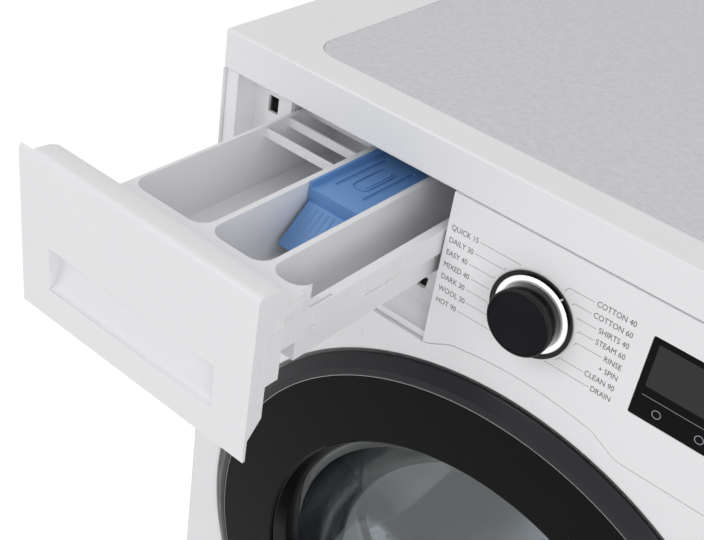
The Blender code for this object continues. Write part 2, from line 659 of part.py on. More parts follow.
def softener_insert():
    """Siphon cap: a skirted lid with a raised left rim and a sloping tongue at its front."""
    x0, x1 = insert_span()
    y0, y1 = depth(INSERT_FRONT), depth(INSERT_FRONT + INSERT_LONG)
    top, wall = TRAY_Z1 - 4 * MM, 2.2 * MM
    lid = block((x0, y0, top - 26 * MM), (x1, y1, top))
    cut(lid, block((x0 + wall, y0 + 2 * wall, top - 40 * MM), (x1 - wall, y1 + 5 * MM, top - wall)))
    join(lid, block((x0 + 0.3 * MM, y0 + 0.4 * MM, top - 5 * MM),
                    (x0 + wall - 0.2 * MM, y1 - 0.4 * MM, TRAY_Z1 + 0.6 * MM)))
    tongue = [(y0 + 3 * MM, top - 9 * MM), (y0 - 2 * MM, top - 9 * MM), (y0 - 30 * MM, top - 33 * MM),
              (y0 - 28 * MM, top - 35 * MM), (y0 + 3 * MM, top - 14 * MM)]
    join(lid, plate([tongue], x1 - x0 - 6 * MM, "YZ", (x0 + x1) / 2))
    return place(lid, "blue_plastic", "softener_insert")


# ---- door -------------------------------------------------------------------------------------
def door_ring():
    """Outer ring with a bevelled edge and a sunk seat for the glass, cut for hinge and hook."""
    rear = DOOR_REAR
    profile = [(DOOR_R, 2 * MM), (DOOR_R, -0.5 * MM), (DOOR_R - 1 * MM, -1.3 * MM),
               (BEVEL_R, -DOOR_FACE + 0.8 * MM), (GLASS_R + 1.2 * MM, -DOOR_FACE - 0.3 * MM),
               (GLASS_R, -DOOR_FACE), (GLASS_R, GLASS_SEAT), (WINDOW_R + 3 * MM, GLASS_SEAT),
               (WINDOW_R + 3 * MM, rear), (BEVEL_R + 1 * MM, rear), (BEVEL_R + 4.5 * MM, 2 * MM)]
    ring = turned(profile, (0, depth(0), DOOR_Z), segments=DOOR_FACETS)
    skin, deep = 2 * MM, depth(20 * MM)
    barrel, tall = KNUCKLE_R + 0.5 * MM, 41 * MM
    cut(ring, rod((HINGE_X, depth(HINGE_D), DOOR_Z - tall),
                  (HINGE_X, depth(HINGE_D), DOOR_Z + tall), barrel))
    cut(ring, block((HINGE_X - barrel, depth(HINGE_D), DOOR_Z - tall),
                    (HINGE_X + barrel, deep, DOOR_Z + tall)))
    cut(ring, block((HINGE_X, depth(GLASS_SEAT + skin), DOOR_Z - tall),
                    (HINGE_X + 37 * MM, deep, DOOR_Z + tall)))
    cut(ring, block((LATCH_X - 11 * MM, depth(GLASS_SEAT + skin), DOOR_Z - 16 * MM),
                    (LATCH_X + 11 * MM, deep, DOOR_Z + 16 * MM)))
    return place(ring, "black_plastic", "door_ring")


def door_glass():
    """Flat black-printed glass annulus around the window."""
    rear = GLASS_SEAT - TOUCH
    profile = [(GLASS_R - TOUCH, rear), (GLASS_R - TOUCH, -DOOR_FACE + 0.4 * MM),
               (GLASS_R - 0.9 * MM, -DOOR_FACE), (WINDOW_R + 0.6 * MM, -DOOR_FACE),
               (WINDOW_R, -DOOR_FACE + 0.5 * MM), (WINDOW_R, rear)]
    return place(turned(profile, (0, depth(0), DOOR_Z), segments=DOOR_FACETS), "black_glass", "door_glass")


def door_inner_ring():
    """Funnel behind the window that clamps the bowl from behind the ring."""
    front, lap = GLASS_SEAT + 0.6 * MM, DOOR_REAR + 0.7 * MM
    profile = [(WINDOW_R + 2.6 * MM, front), (WINDOW_R + 2.6 * MM, lap), (FRAME_R, lap),
               (FRAME_R, 17 * MM), (FRAME_R - 3 * MM, 17 * MM), (FRAME_R - 3 * MM, 12 * MM),
               (WINDOW_R - 8 * MM, 12 * MM), (WINDOW_R - 0.5 * MM, front)]
    ring = turned(profile, (0, depth(0), DOOR_Z), segments=DOOR_FACETS)
    return place(ring, "black_plastic", "door_inner_ring")


def door_bowl():
    """Pressed glass bowl that reaches into the drum's mouth."""
    wall = 4 * MM
    flange, rim = FRAME_R - 3.6 * MM, WINDOW_R - 9 * MM
    front = 12 * MM + TOUCH
    outer = [(flange, front), (flange, front + wall), (rim + 2 * MM, front + wall),
             (rim - 4 * MM, 40 * MM), (rim - 16 * MM, 78 * MM), (rim - 36 * MM, 97 * MM),
             (rim - 90 * MM, 104 * MM), (0, 106 * MM)]
    inner = [(0, 106 * MM - wall), (rim - 92 * MM, 104 * MM - wall), (rim - 39 * MM, 97 * MM - wall),
             (rim - 20 * MM, 76 * MM), (rim - 8 * MM, 38 * MM), (rim - 3 * MM, front)]
    bowl = turned(outer + inner, (0, depth(0), DOOR_Z), segments=TUB_FACETS)
    return place(bowl, "clear_glass", "door_bowl")


def hinge_bracket():
    """Fixed half of the hinge: a strap on the well's floor with two necked knuckles."""
    y, top = depth(HINGE_D), WELL_DEPTH - TOUCH
    bracket = block((HINGE_X + 6 * MM, depth(top - 1.6 * MM), DOOR_Z - 40 * MM),
                    (HINGE_X + 36 * MM, depth(top), DOOR_Z + 40 * MM))
    reach = top - 0.6 * MM - HINGE_D
    neck = [(0.5 * MM, 0.5 * MM), (3.2 * MM, 0.4 * MM), (15 * MM, reach), (7 * MM, reach),
            (2.4 * MM, 2.7 * MM)]
    for side in (-1, 1):
        low, high = sorted((DOOR_Z + side * 13 * MM, DOOR_Z + side * 38 * MM))
        join(bracket, rod((HINGE_X, y, low), (HINGE_X, y, high), KNUCKLE_R, 20))
        outline = [(HINGE_X + u, y + v) for u, v in neck]
        join(bracket, plate([outline], high - low, "XY", (low + high) / 2))
        cut(bracket, rod((HINGE_X, y, low - 3 * MM), (HINGE_X, y, high + 3 * MM), PIN_R + TOUCH, 16))
    return place(bracket, "steel", "door_hinge_bracket")


def hinge_leaf():
    """Moving half of the hinge: knuckle, pressed-in pin and the arm into the door ring."""
    y = depth(HINGE_D)
    leaf = rod((HINGE_X, y, DOOR_Z - 12.4 * MM), (HINGE_X, y, DOOR_Z + 12.4 * MM), KNUCKLE_R, 20)
    join(leaf, block((HINGE_X + 1 * MM, y - 1.2 * MM, DOOR_Z - 12 * MM),
                     (HINGE_X + 36 * MM, y + 1.2 * MM, DOOR_Z + 12 * MM)))
    join(leaf, block((HINGE_X + 20 * MM, depth(GLASS_SEAT + 2.3 * MM), DOOR_Z - 30 * MM),
                     (HINGE_X + 36.5 * MM, y + 1 * MM, DOOR_Z + 30 * MM)))
    join(leaf, rod((HINGE_X, y, DOOR_Z - 39 * MM), (HINGE_X, y, DOOR_Z + 39 * MM), PIN_R, 16))
    return place(leaf, "steel", "door_hinge_leaf")


def door_hook():
    """Sprung hook that snaps into the lock."""
    outline = [(-3, -2), (3, -2), (3, 23), (7.5, 23), (3, 31), (-1, 31), (-3, 27)]
    points = [(LATCH_X + u * MM, depth(v * MM)) for u, v in outline]
    return place(plate([points], 8 * MM, "XY", DOOR_Z), "steel", "door_hook")


def door_lock():
    """Lock case behind the well's floor, with a slot that takes the hook."""
    front = WELL_DEPTH + SHEET + TOUCH
    lock = block((LATCH_X - 16 * MM, depth(front), DOOR_Z - 55 * MM),
                 (LATCH_X + 26 * MM, depth(front + 34 * MM), DOOR_Z + 35 * MM), 2 * MM, 1)
    cut(lock, block((LATCH_X - 7 * MM, depth(0), DOOR_Z - 8 * MM),
                    (LATCH_X + 12 * MM, depth(front + 26 * MM), DOOR_Z + 8 * MM)))
    return place(lock, "black_plastic", "door_lock")


# ---- programme dial ---------------------------------------------------------------------------
def dial_knob():
    """Cylindrical knob with a crisp rim, turned in one piece with its shaft."""
    profile = [(0, -KNOB_PROUD + 0.3 * MM), (KNOB_R - 1.2 * MM, -KNOB_PROUD),
               (KNOB_R, -KNOB_PROUD + 0.8 * MM),
               (KNOB_R - 0.6 * MM, -2 * MM), (KNOB_R - 1.4 * MM, -0.8 * MM), (KNOB_SHAFT_R, -0.8 * MM),
               (KNOB_SHAFT_R, 8 * MM), (0, 8 * MM)]
    knob = turned(profile, (DIAL_X, depth(0), DIAL_Z), segments=DIAL_FACETS)
    return place(knob, "black_plastic", "dial_knob")


def dial_band(inner, outer, proud, name, finish):
    """A thin ring around the knob."""
    profile = [(outer, -TOUCH), (outer, -proud + 0.3 * MM), (outer - 0.4 * MM, -proud),
               (inner + 0.2 * MM, -proud), (inner, -proud + 0.2 * MM), (inner, -TOUCH)]
    return place(turned(profile, (DIAL_X, depth(0), DIAL_Z), segments=DIAL_FACETS), finish, name)


# ---- washing group ----------------------------------------------------------------------------
def tub_front():
    """Front half of the tub with the neck that carries the gasket and the water inlet."""
    d0, d1 = TUB_FRONT_D, TUB_SPLIT_D - TOUCH
    neck, wall = MOUTH_R - 4 * MM, TUB_WALL
    profile = [(neck, d0 - 12 * MM), (neck, d0 + wall), (TUB_R - wall, d0 + wall), (TUB_R - wall, d1),
               (TUB_R + 4 * MM, d1), (TUB_R + 4 * MM, d1 - 5 * MM), (TUB_R, d1 - 5 * MM),
               (TUB_R, d0 + 4 * MM), (TUB_R - 4 * MM, d0), (neck + wall, d0), (neck + wall, d0 - 12 * MM)]
    tub = turned(profile, (0, depth(0), DOOR_Z), segments=TUB_FACETS)
    y = depth(SPOUT_D)
    join(tub, rod((SPOUT_X, y, DOOR_Z + 215 * MM), (SPOUT_X, y, TUB_INLET_Z), 18 * MM))
    room = [(0, d0 + wall + 1 * MM), (TUB_R - wall - 0.05 * MM, d0 + wall + 1 * MM),
            (TUB_R - wall - 0.05 * MM, d1 + 9 * MM), (0, d1 + 9 * MM)]
    cut(tub, turned(room, (0, depth(0), DOOR_Z), segments=TUB_FACETS))
    cut(tub, rod((SPOUT_X, y, DOOR_Z + 200 * MM), (SPOUT_X, y, TUB_INLET_Z + 9 * MM), 13 * MM))
    return place(tub, "tub_plastic", "tub_front")


def tub_rear():
    """Rear half of the tub with the bearing hub and the spring ears."""
    d0, d1 = TUB_SPLIT_D, TUB_BACK_D
    hub = BEARING_R + 7 * MM
    solid = [(0, d0), (TUB_R + 4 * MM, d0), (TUB_R + 4 * MM, d0 + 5 * MM), (TUB_R, d0 + 5 * MM),
             (TUB_R, d1 - 6 * MM), (TUB_R - 6 * MM, d1), (hub, d1), (hub, HUB_BACK_D), (0, HUB_BACK_D)]
    tub = turned(solid, (0, depth(0), DOOR_Z), segments=TUB_FACETS)
    for side in (-1, 1):
        x0, x1 = sorted((side * (HALF - 62 * MM), side * (HALF - 34 * MM)))
        join(tub, block((x0, depth(SPRING_D - 8 * MM), DOOR_Z + 60 * MM),
                        (x1, depth(SPRING_D + 8 * MM), SPRING_LOW)))
    inner = [(0, d0 - 9 * MM), (TUB_R - TUB_WALL, d0 - 9 * MM), (TUB_R - TUB_WALL, d1 - TUB_WALL - 3 * MM),
             (TUB_R - 9 * MM, d1 - TUB_WALL), (BEARING_R + TOUCH, d1 - TUB_WALL),
             (BEARING_R + TOUCH, HUB_BACK_D + 9 * MM), (0, HUB_BACK_D + 9 * MM)]
    cut(tub, turned(inner, (0, depth(0), DOOR_Z), segments=TUB_FACETS))
    return place(tub, "tub_plastic", "tub_rear")


def door_gasket():
    """Folded rubber bellows between the front panel's mouth and the tub's neck."""
    lip, neck = MOUTH_R - 2 * MM, MOUTH_R - 4 * MM - TOUCH
    spine = [(lip, WELL_DEPTH + 2 * MM), (lip - 3 * MM, 24 * MM), (lip - 15 * MM, 31 * MM),
             (lip - 17 * MM, 43 * MM), (lip - 4 * MM, 52 * MM), (lip - 2 * MM, 64 * MM),
             (lip - 14 * MM, 72 * MM), (lip - 13 * MM, 84 * MM), (neck - 3 * MM, 92 * MM),
             (neck - 3 * MM, TUB_FRONT_D)]
    wall = 2.4 * MM
    back = [(r - wall, d + (1.2 * MM if 0 < i < len(spine) - 1 else 0)) for i, (r, d) in enumerate(spine)]
    return place(turned(spine + back[::-1], (0, depth(0), DOOR_Z), segments=TUB_FACETS), "grey_rubber",
                 "door_gasket")


def drum():
    """Stainless drum: rolled front lip, straight mantle and a closed rear wall."""
    d0, d1 = DRUM_FRONT_D, DRUM_BACK_D
    t = DRUM_SHEET
    outer = [(DRUM_MOUTH_R, d0), (DRUM_R - 14 * MM, d0 + 2 * MM), (DRUM_R - 3 * MM, d0 + 9 * MM),
             (DRUM_R, d0 + 20 * MM), (DRUM_R, d1 - 12 * MM), (DRUM_R - 10 * MM, d1), (0, d1)]
    inner = [(0, d1 - t), (DRUM_R - 11 * MM, d1 - t), (DRUM_R - t, d1 - 13 * MM),
             (DRUM_R - t, d0 + 21 * MM), (DRUM_R - 5 * MM, d0 + 11 * MM), (DRUM_R - 15 * MM, d0 + 4 * MM),
             (DRUM_MOUTH_R, d0 + 2 * t)]
    return place(turned(outer + inner, (0, depth(0), DOOR_Z), segments=TUB_FACETS), "steel", "drum")


def drum_paddle(number):
    """Hollow-backed lifter rib along the drum's mantle."""
    foot, tip = DRUM_R - DRUM_SHEET - 3 * MM, DRUM_R - 58 * MM
    half_foot, half_tip = 34 * MM, 9 * MM
    rise = math.sqrt(foot ** 2 - half_foot ** 2)
    outline = [(-half_foot, -rise), (half_foot, -rise),
               (half_tip + 6 * MM, -tip - 14 * MM), (half_tip, -tip),
               (-half_tip, -tip), (-half_tip - 6 * MM, -tip - 14 * MM)]
    long = DRUM_LENGTH - 70 * MM
    middle = depth(DRUM_FRONT_D + DRUM_LENGTH / 2 + 6 * MM)
    rib = plate([outline], long, "XZ", 0)
    rib.matrix_world = (Matrix.Translation((0, middle, DOOR_Z))
                        @ Matrix.Rotation(math.radians(120 * number + 60), 4, "Y") @ rib.matrix_world)
    return place(rib, "tub_plastic", "drum_paddle_%d" % (number + 1))


def drum_spider():
    """Three-armed cross behind the drum, cast in one with the shaft."""
    d0 = DRUM_BACK_D + TOUCH
    hub = turned([(0, d0), (30 * MM, d0), (30 * MM, d0 + 12 * MM), (SHAFT_R, d0 + 12 * MM),
                  (SHAFT_R, PULLEY_D + PULLEY_WIDE + 4 * MM), (0, PULLEY_D + PULLEY_WIDE + 4 * MM)],
                 (0, depth(0), DOOR_Z), segments=24)
    for i in range(3):
        arm = block((-13 * MM, depth(d0), 0), (13 * MM, depth(d0 + 11 * MM), DRUM_R - 14 * MM))
        turn = Matrix.Translation((0, 0, DOOR_Z)) @ Matrix.Rotation(math.radians(120 * i), 4, "Y")
        arm.matrix_world = turn @ Matrix.Translation(arm.location)
        join(hub, arm)
    return place(hub, "aluminium", "drum_spider")


def bearing(d0, name):
    profile = [(SHAFT_R + TOUCH, d0), (BEARING_R, d0), (BEARING_R, d0 + BEARING_LONG),
               (SHAFT_R + TOUCH, d0 + BEARING_LONG)]
    return place(turned(profile, (0, depth(0), DOOR_Z), segments=24), "steel", name)


def drum_pulley():
    """Belt pulley with a thin web, clamped on the shaft."""
    d0, d1 = PULLEY_D, PULLEY_D + PULLEY_WIDE
    profile = [(SHAFT_R + TOUCH, d0), (24 * MM, d0),
               (24 * MM, d0 + 3 * MM), (PULLEY_R - 6 * MM, d0 + 3 * MM),
               (PULLEY_R - 6 * MM, d0), (PULLEY_R, d0), (PULLEY_R, d1), (PULLEY_R - 6 * MM, d1),
               (PULLEY_R - 6 * MM, d0 + 7 * MM), (24 * MM, d0 + 7 * MM),
               (24 * MM, d1), (SHAFT_R + TOUCH, d1)]
    return place(turned(profile, (0, depth(0), DOOR_Z), segments=TUB_FACETS), "aluminium", "drum_pulley")


def motor():
    """Motor case with cooling-end steps, below the tub."""
    d1 = PULLEY_D - 14 * MM
    d0 = d1 - MOTOR_LONG
    profile = [(0, d0), (MOTOR_R - 8 * MM, d0), (MOTOR_R, d0 + 8 * MM), (MOTOR_R, d1 - 10 * MM),
               (MOTOR_R - 12 * MM, d1), (0, d1)]
    case = turned(profile, (MOTOR_X, depth(0), MOTOR_Z), segments=28)
    cut(case, rod((MOTOR_X, depth(d0 + 20 * MM), MOTOR_Z), (MOTOR_X, depth(d1 + 9 * MM), MOTOR_Z), 9 * MM))
    return place(case, "aluminium", "motor")


def motor_pulley():
    """Small pulley in one with the rotor shaft."""
    d1 = PULLEY_D + PULLEY_WIDE
    profile = [(0, PULLEY_D - 40 * MM), (7 * MM, PULLEY_D - 40 * MM), (7 * MM, PULLEY_D - 2 * MM),
               (MOTOR_PULLEY_R, PULLEY_D - 2 * MM), (MOTOR_PULLEY_R, d1 + 2 * MM), (0, d1 + 2 * MM)]
    return place(turned(profile, (MOTOR_X, depth(0), MOTOR_Z), segments=24), "steel", "motor_pulley")


def belt_loop(extra):
    """Outline of the belt: two arcs joined by their outer tangents."""
    big, small = PULLEY_R + extra, MOTOR_PULLEY_R + extra
    away = Vector((MOTOR_X, MOTOR_Z - DOOR_Z))
    heading = math.degrees(math.atan2(away.y, away.x))
    spread = math.degrees(math.acos((big - small) / away.length))
    return (arc(0, DOOR_Z, big, heading + spread, heading + 360 - spread, 40)
            + arc(MOTOR_X, MOTOR_Z, small, heading - spread, heading + spread, 16))


def drive_belt():
    belt = plate([belt_loop(TOUCH + BELT_THICK), belt_loop(TOUCH)], PULLEY_WIDE - 2 * MM, "XZ",
                 depth(PULLEY_D + PULLEY_WIDE / 2))
    return place(belt, "black_rubber", "drive_belt")


def upper_counterweight():
    """Concrete block seated on top of the tub."""
    weight = block((-60 * MM, depth(140 * MM), DOOR_Z + 270 * MM), (215 * MM, depth(330 * MM),
                                                                     PANEL_TOP - 14 * MM), 4 * MM, 1)
    cut(weight, turned([(0, 100 * MM), (TUB_R + 6 * MM, 100 * MM),
                        (TUB_R + 6 * MM, 400 * MM), (0, 400 * MM)],
                       (0, depth(0), DOOR_Z), segments=TUB_FACETS))
    return place(weight, "concrete", "counterweight_upper")


def lower_counterweight():
    """Concrete crescent bolted to the tub's front below the door mouth."""
    outer, inner = TUB_R - 6 * MM, MOUTH_R + 6 * MM
    outline = arc(0, DOOR_Z, outer, 200, 340, 28) + arc(0, DOOR_Z, inner, 340, 200, 28)
    return place(plate([outline], 40 * MM, "XZ", depth(TUB_FRONT_D - 22 * MM)), "concrete",
                 "counterweight_lower")


def tub_spring(side, name):
    """Tension spring between the side panel's hanger and the tub's ear."""
    x, y = side * (HALF - 48 * MM), depth(SPRING_D)
    low, high = SPRING_LOW + 2 * MM, SPRING_TOP - 2 * MM
    radius, wire, turns, per_turn = 9 * MM, 1.6 * MM, 5, 8
    curve = bpy.data.curves.new(name, "CURVE")
    curve.dimensions = "3D"
    curve.bevel_depth = wire
    curve.bevel_resolution = 1
    curve.use_fill_caps = True
    spline = curve.splines.new("POLY")
    count = turns * per_turn
    spline.points.add(count)
    for i, point in enumerate(spline.points):
        angle = 2 * math.pi * i / per_turn
        point.co = (x + radius * math.cos(angle), y + radius * math.sin(angle),
                    low + wire + (high - low - 2 * wire) * i / count, 1)
    return place(flat(bpy.data.objects.new(name, curve)), "steel", name)


def tub_damper(side, name):
    """Friction damper: a cylinder on the base and a rod up to the tub."""
    foot = Vector((side * 215 * MM, depth(DAMPER_D), FOOT_HEIGHT + 12 * MM))
    head = Vector((side * 150 * MM, depth(DAMPER_D), DOOR_Z - TUB_R + 28 * MM))
    middle = foot.lerp(head, 0.55)
    damper = rod(foot, middle, 13 * MM, 20)
    join(damper, rod(foot.lerp(head, 0.5), head, 5 * MM, 14))
    return place(damper, "steel", name)


def heater():
    """Hairpin heating tube in the bottom of the tub."""
    z, half = DOOR_Z - (TUB_R + DRUM_R) / 2 - 0.5 * MM, 26 * MM
    d0, d1 = TUB_BACK_D - 40 * MM, TUB_SPLIT_D - 90 * MM
    bend = arc(0, 0, half, 0, -180, 9)
    route = [(half, d0)] + [(u, d1 + half + v) for u, v in bend] + [(-half, d0)]
    curve = bpy.data.curves.new("heater", "CURVE")
    curve.dimensions = "3D"
    curve.bevel_depth = 3.5 * MM
    curve.bevel_resolution = 2
    curve.use_fill_caps = True
    spline = curve.splines.new("POLY")
    spline.points.add(len(route) - 1)
    for point, (x, d) in zip(spline.points, route):
        point.co = (x, depth(d), z, 1)
    return place(flat(bpy.data.objects.new("heater", curve)), "steel", "heater")


# ---- water, feet and service pieces -----------------------------------------------------------
def inlet_valve():
    """Water valve with its threaded stub through the back panel."""
    back = depth(DEPTH)
    valve = block((WATER_X - 22 * MM, back - 60 * MM, WATER_Z - 20 * MM),
                  (WATER_X + 22 * MM, back - 3 * MM, WATER_Z + 20 * MM), 3 * MM, 1)
    join(valve, rod((WATER_X, back - 12 * MM, WATER_Z), (WATER_X, back - 0.2 * MM, WATER_Z), 13 * MM, 24))
    cut(valve, rod((WATER_X, back - 9 * MM, WATER_Z), (WATER_X, back + 5 * MM, WATER_Z), 9 * MM, 24))
    return place(valve, "tub_plastic", "inlet_valve")


def drain_outlet():
    """Spigot for a waste hose, level with the back panel."""
    back = depth(DEPTH)
    profile = [(9 * MM, -36 * MM), (14 * MM, -36 * MM), (14 * MM, -0.2 * MM), (9 * MM, -0.2 * MM)]
    return place(turned(profile, (DRAIN_X, back, DRAIN_Z), segments=24), "black_plastic", "drain_outlet")


def mains_gland():
    """Grommet in the back panel where a mains lead would enter."""
    back = depth(DEPTH)
    profile = [(4 * MM, -8 * MM), (8.6 * MM, -8 * MM), (8.6 * MM, -0.2 * MM), (4 * MM, -0.2 * MM)]
    return place(turned(profile, (MAINS_X, back, MAINS_Z), segments=24), "black_plastic", "mains_gland")


def drain_pump():
    """Pump body with the filter chamber that opens behind the flap."""
    x, z = (FLAP_X0 + FLAP_X1) / 2, PUMP_Z
    front = 24 * MM
    profile = [(0, front + 78 * MM), (FILTER_R + 6 * MM, front + 78 * MM), (FILTER_R + 6 * MM, front),
               (FILTER_R + 1 * MM, front), (FILTER_R + 1 * MM, front + 62 * MM), (0, front + 62 * MM)]
    body = turned(profile, (x, depth(0), z), segments=24)
    join(body, rod((x, depth(front + 76 * MM), z), (x, depth(front + 130 * MM), z), 24 * MM, 24))
    return place(body, "tub_plastic", "drain_pump")


def filter_cap():
    """Screwed filter with a finger grip, seated in the pump's mouth."""
    x, z = (FLAP_X0 + FLAP_X1) / 2, PUMP_Z
    front = 18 * MM
    profile = [(0, front), (FILTER_R, front), (FILTER_R, front + 26 * MM),
               (FILTER_R - 5 * MM, front + 26 * MM), (FILTER_R - 5 * MM, front + 58 * MM),
               (0, front + 58 * MM)]
    cap = turned(profile, (x, depth(0), z), segments=24)
    join(cap, block((x - FILTER_R + 3 * MM, depth(front - 10 * MM), z - 3 * MM),
                    (x + FILTER_R - 3 * MM, depth(front + 1 * MM), z + 3 * MM)))
    return place(cap, "tub_plastic", "filter_cap")


def service_flap():
    """Small door over the filter, hinged along its lower edge."""
    flap = plate([flap_outline(SEAM)], 2 * MM, "XZ", depth(1 * MM))
    return place(flap, "white_plastic", "service_flap")


def levelling_foot(number):
    """Rubber-shod foot in one with its threaded stud."""
    x, d = FOOT_PLACES[number]
    profile = [(0, 0), (18 * MM, 0), (20 * MM, 2 * MM), (20 * MM, 7 * MM), (12 * MM, 10 * MM),
               (FOOT_STUD_R, 11 * MM), (FOOT_STUD_R, FOOT_HEIGHT + 22 * MM), (0, FOOT_HEIGHT + 22 * MM)]
    foot = turned(profile, (x, depth(d), 0), "Z", 20)
    return place(foot, "black_rubber", "levelling_foot_%d" % (number + 1))


# ---- places that several pieces share ---------------------------------------------------------
TRAY_X1 = OPENING_X1 - TRAY_CLEARANCE
TRAY_X0 = TRAY_X1 - RAIL_WIDTH - sum(COMPARTMENTS) - 2 * DIVIDER - 2 * TRAY_WALL
TRAY_Z1 = PANEL_TOP - TRAY_DROP
TRAY_Z0 = TRAY_Z1 - TRAY_DEPTH
INSERT_FRONT = -42 * MM
INSERT_LONG = 90 * MM
HOUSING_TOP = PANEL_TOP - 3 * MM
HOUSING_BACK = DRAWER_CAP + TRAY_LENGTH + 12 * MM
SPOUT_X = (TRAY_X0 + TRAY_X1) / 2
SPOUT_D = TUB_SPLIT_D - 40 * MM
TUB_INLET_Z = DOOR_Z + math.sqrt((TUB_R + 4 * MM) ** 2 - (abs(SPOUT_X) - 19 * MM) ** 2) + 1 * MM
SPRING_D = 330 * MM
SPRING_LOW = DOOR_Z + 180 * MM
SPRING_TOP = PANEL_TOP - 46 * MM
DAMPER_D = 300 * MM
HUB_BACK_D = TUB_BACK_D + 30 * MM
COVER_R = 200 * MM
FLANGE_FRONT = 16 * MM
FRAME_R = MOUTH_R - 12 * MM
LATCH_X = MOUTH_R + 20 * MM
PIN_R = 2 * MM
FOOT_STUD_R = 5 * MM
FOOT_PLACES = [(sx * (HALF - 50 * MM), d) for sx in (-1, 1) for d in (60 * MM, DEPTH - 60 * MM)]
FLAP_X0, FLAP_X1 = HALF - 150 * MM, HALF - 25 * MM
FLAP_Z0, FLAP_Z1 = FOOT_HEIGHT + 24 * MM, FOOT_HEIGHT + 118 * MM
FLAP_CORNER, FLAP_FOOT_CORNER = 6 * MM, 0.9 * MM
PUMP_Z = (FLAP_Z0 + FLAP_Z1) / 2
FILTER_R = 32 * MM
WATER_X, WATER_Z = 180 * MM, PANEL_TOP - 60 * MM
DRAIN_X, DRAIN_Z = -200 * MM, PANEL_TOP - 90 * MM
MAINS_X, MAINS_Z = 230 * MM, 120 * MM


def build_cabinet():
    side_panel(-1, "left_side_panel")
    side_panel(1, "right_side_panel")
    back_panel()
    rear_cover()
    base_pan()
    front_panel()
    worktop_frame()
    worktop_inlay()


def build_panel():
    control_panel()
    display_window()
    control_board()
    drawer_surround()
    dispenser_housing()
    dispenser_cover()
    dispenser_hose()
    dial = pivot("dial_axis", (DIAL_X, depth(0), DIAL_Z))
    carry(dial, dial_knob(),
          dial_band(KNOB_R + TOUCH, DIAL_LIGHT_R - TOUCH / 2, 1.6 * MM, "dial_light_ring", "silver_trim"),
          dial_band(DIAL_LIGHT_R + TOUCH / 2, DIAL_RING_R, 2.2 * MM, "dial_ring", "black_plastic"))


def build_drawer():
    slide = pivot("drawer_slide", (SPOUT_X, depth(-PULL_OUT), TRAY_Z0))
    carry(slide, drawer_front(), drawer_tray(), softener_insert())


def build_door():
    hinge_bracket()
    door_lock()
    axis = pivot("door_axis", (HINGE_X, depth(HINGE_D), DOOR_Z))
    carry(axis, door_ring(), door_glass(), door_inner_ring(), door_bowl(), hinge_leaf())
    hook = pivot("hook_axis", (LATCH_X, depth(0), DOOR_Z))
    carry(hook, door_hook())


def build_washing_group():
    tub_front()
    tub_rear()
    door_gasket()
    axis = pivot("drum_axis", (0, depth(DRUM_FRONT_D), DOOR_Z))
    carry(axis, drum(), drum_spider(), drum_pulley())
    for number in range(3):
        drum_paddle(number)
    bearing(TUB_BACK_D + 0.5 * MM, "bearing_front")
    bearing(TUB_BACK_D + BEARING_LONG + 1.5 * MM, "bearing_rear")
    motor()
    rotor = pivot("motor_axis", (MOTOR_X, depth(PULLEY_D), MOTOR_Z))
    carry(rotor, motor_pulley())
    drive_belt()
    upper_counterweight()
    lower_counterweight()
    for side, word in ((-1, "left"), (1, "right")):
        tub_spring(side, "tub_spring_" + word)
        tub_damper(side, "tub_damper_" + word)
    heater()


def build_service_pieces():
    inlet_valve()
    drain_outlet()
    mains_gland()
    drain_pump()
    carry(pivot("filter_axis", ((FLAP_X0 + FLAP_X1) / 2, depth(0), PUMP_Z)), filter_cap())
    carry(pivot("flap_axis", (0, depth(1 * MM), FLAP_Z0 + SEAM + 1 * MM)), service_flap())
    for number, (x, d) in enumerate(FOOT_PLACES):
        carry(pivot("foot_axis_%d" % (number + 1), (x, depth(d), 0)), levelling_foot(number))


clear_scene()
MACHINE = new_collection("washing_machine")
CUTTERS = new_collection("cutters")
build_cabinet()
build_panel()
build_drawer()
build_door()
build_washing_group()
build_service_pieces()
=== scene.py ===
"""Looks of a front-loading washing machine with its detergent drawer pulled out.

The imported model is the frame: every place and size comes from its nodes.  +X is the machine's
right side, +Y points to its back and +Z is up.  Lengths are in metres, written as n * MM.
"""
import json
import logging
import math
from dataclasses import dataclass
from enum import Enum

import bmesh
import bpy
from mathutils import Matrix, Vector


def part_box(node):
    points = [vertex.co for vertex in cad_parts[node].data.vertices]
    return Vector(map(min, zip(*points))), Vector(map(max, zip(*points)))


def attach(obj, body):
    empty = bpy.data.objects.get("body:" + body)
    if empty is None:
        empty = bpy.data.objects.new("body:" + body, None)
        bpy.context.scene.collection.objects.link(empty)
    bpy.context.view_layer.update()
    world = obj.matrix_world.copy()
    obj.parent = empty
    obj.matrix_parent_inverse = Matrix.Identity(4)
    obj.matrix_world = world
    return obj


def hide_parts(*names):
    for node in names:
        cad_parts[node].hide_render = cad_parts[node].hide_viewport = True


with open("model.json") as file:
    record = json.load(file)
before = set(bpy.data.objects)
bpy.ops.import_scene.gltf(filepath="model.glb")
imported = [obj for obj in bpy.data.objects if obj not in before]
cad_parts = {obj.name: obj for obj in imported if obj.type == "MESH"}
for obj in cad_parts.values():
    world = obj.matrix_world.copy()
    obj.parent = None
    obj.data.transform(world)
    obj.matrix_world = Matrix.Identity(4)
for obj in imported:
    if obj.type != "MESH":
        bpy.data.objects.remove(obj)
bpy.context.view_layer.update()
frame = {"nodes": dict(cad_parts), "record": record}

LOG = logging.getLogger("washing_machine")
logging.basicConfig(level=logging.INFO, format="%(name)s: %(message)s")

MM = 0.001
FINE = 192                      # facets around the door, drum and dial
COLLECTION = bpy.data.collections.new("washing_machine_looks")
bpy.context.scene.collection.children.link(COLLECTION)


class Plane(Enum):
    """Plane that a flat outline is drawn in; the piece is thick along the third axis."""

    XZ = "XZ"
    YZ = "YZ"
    XY = "XY"


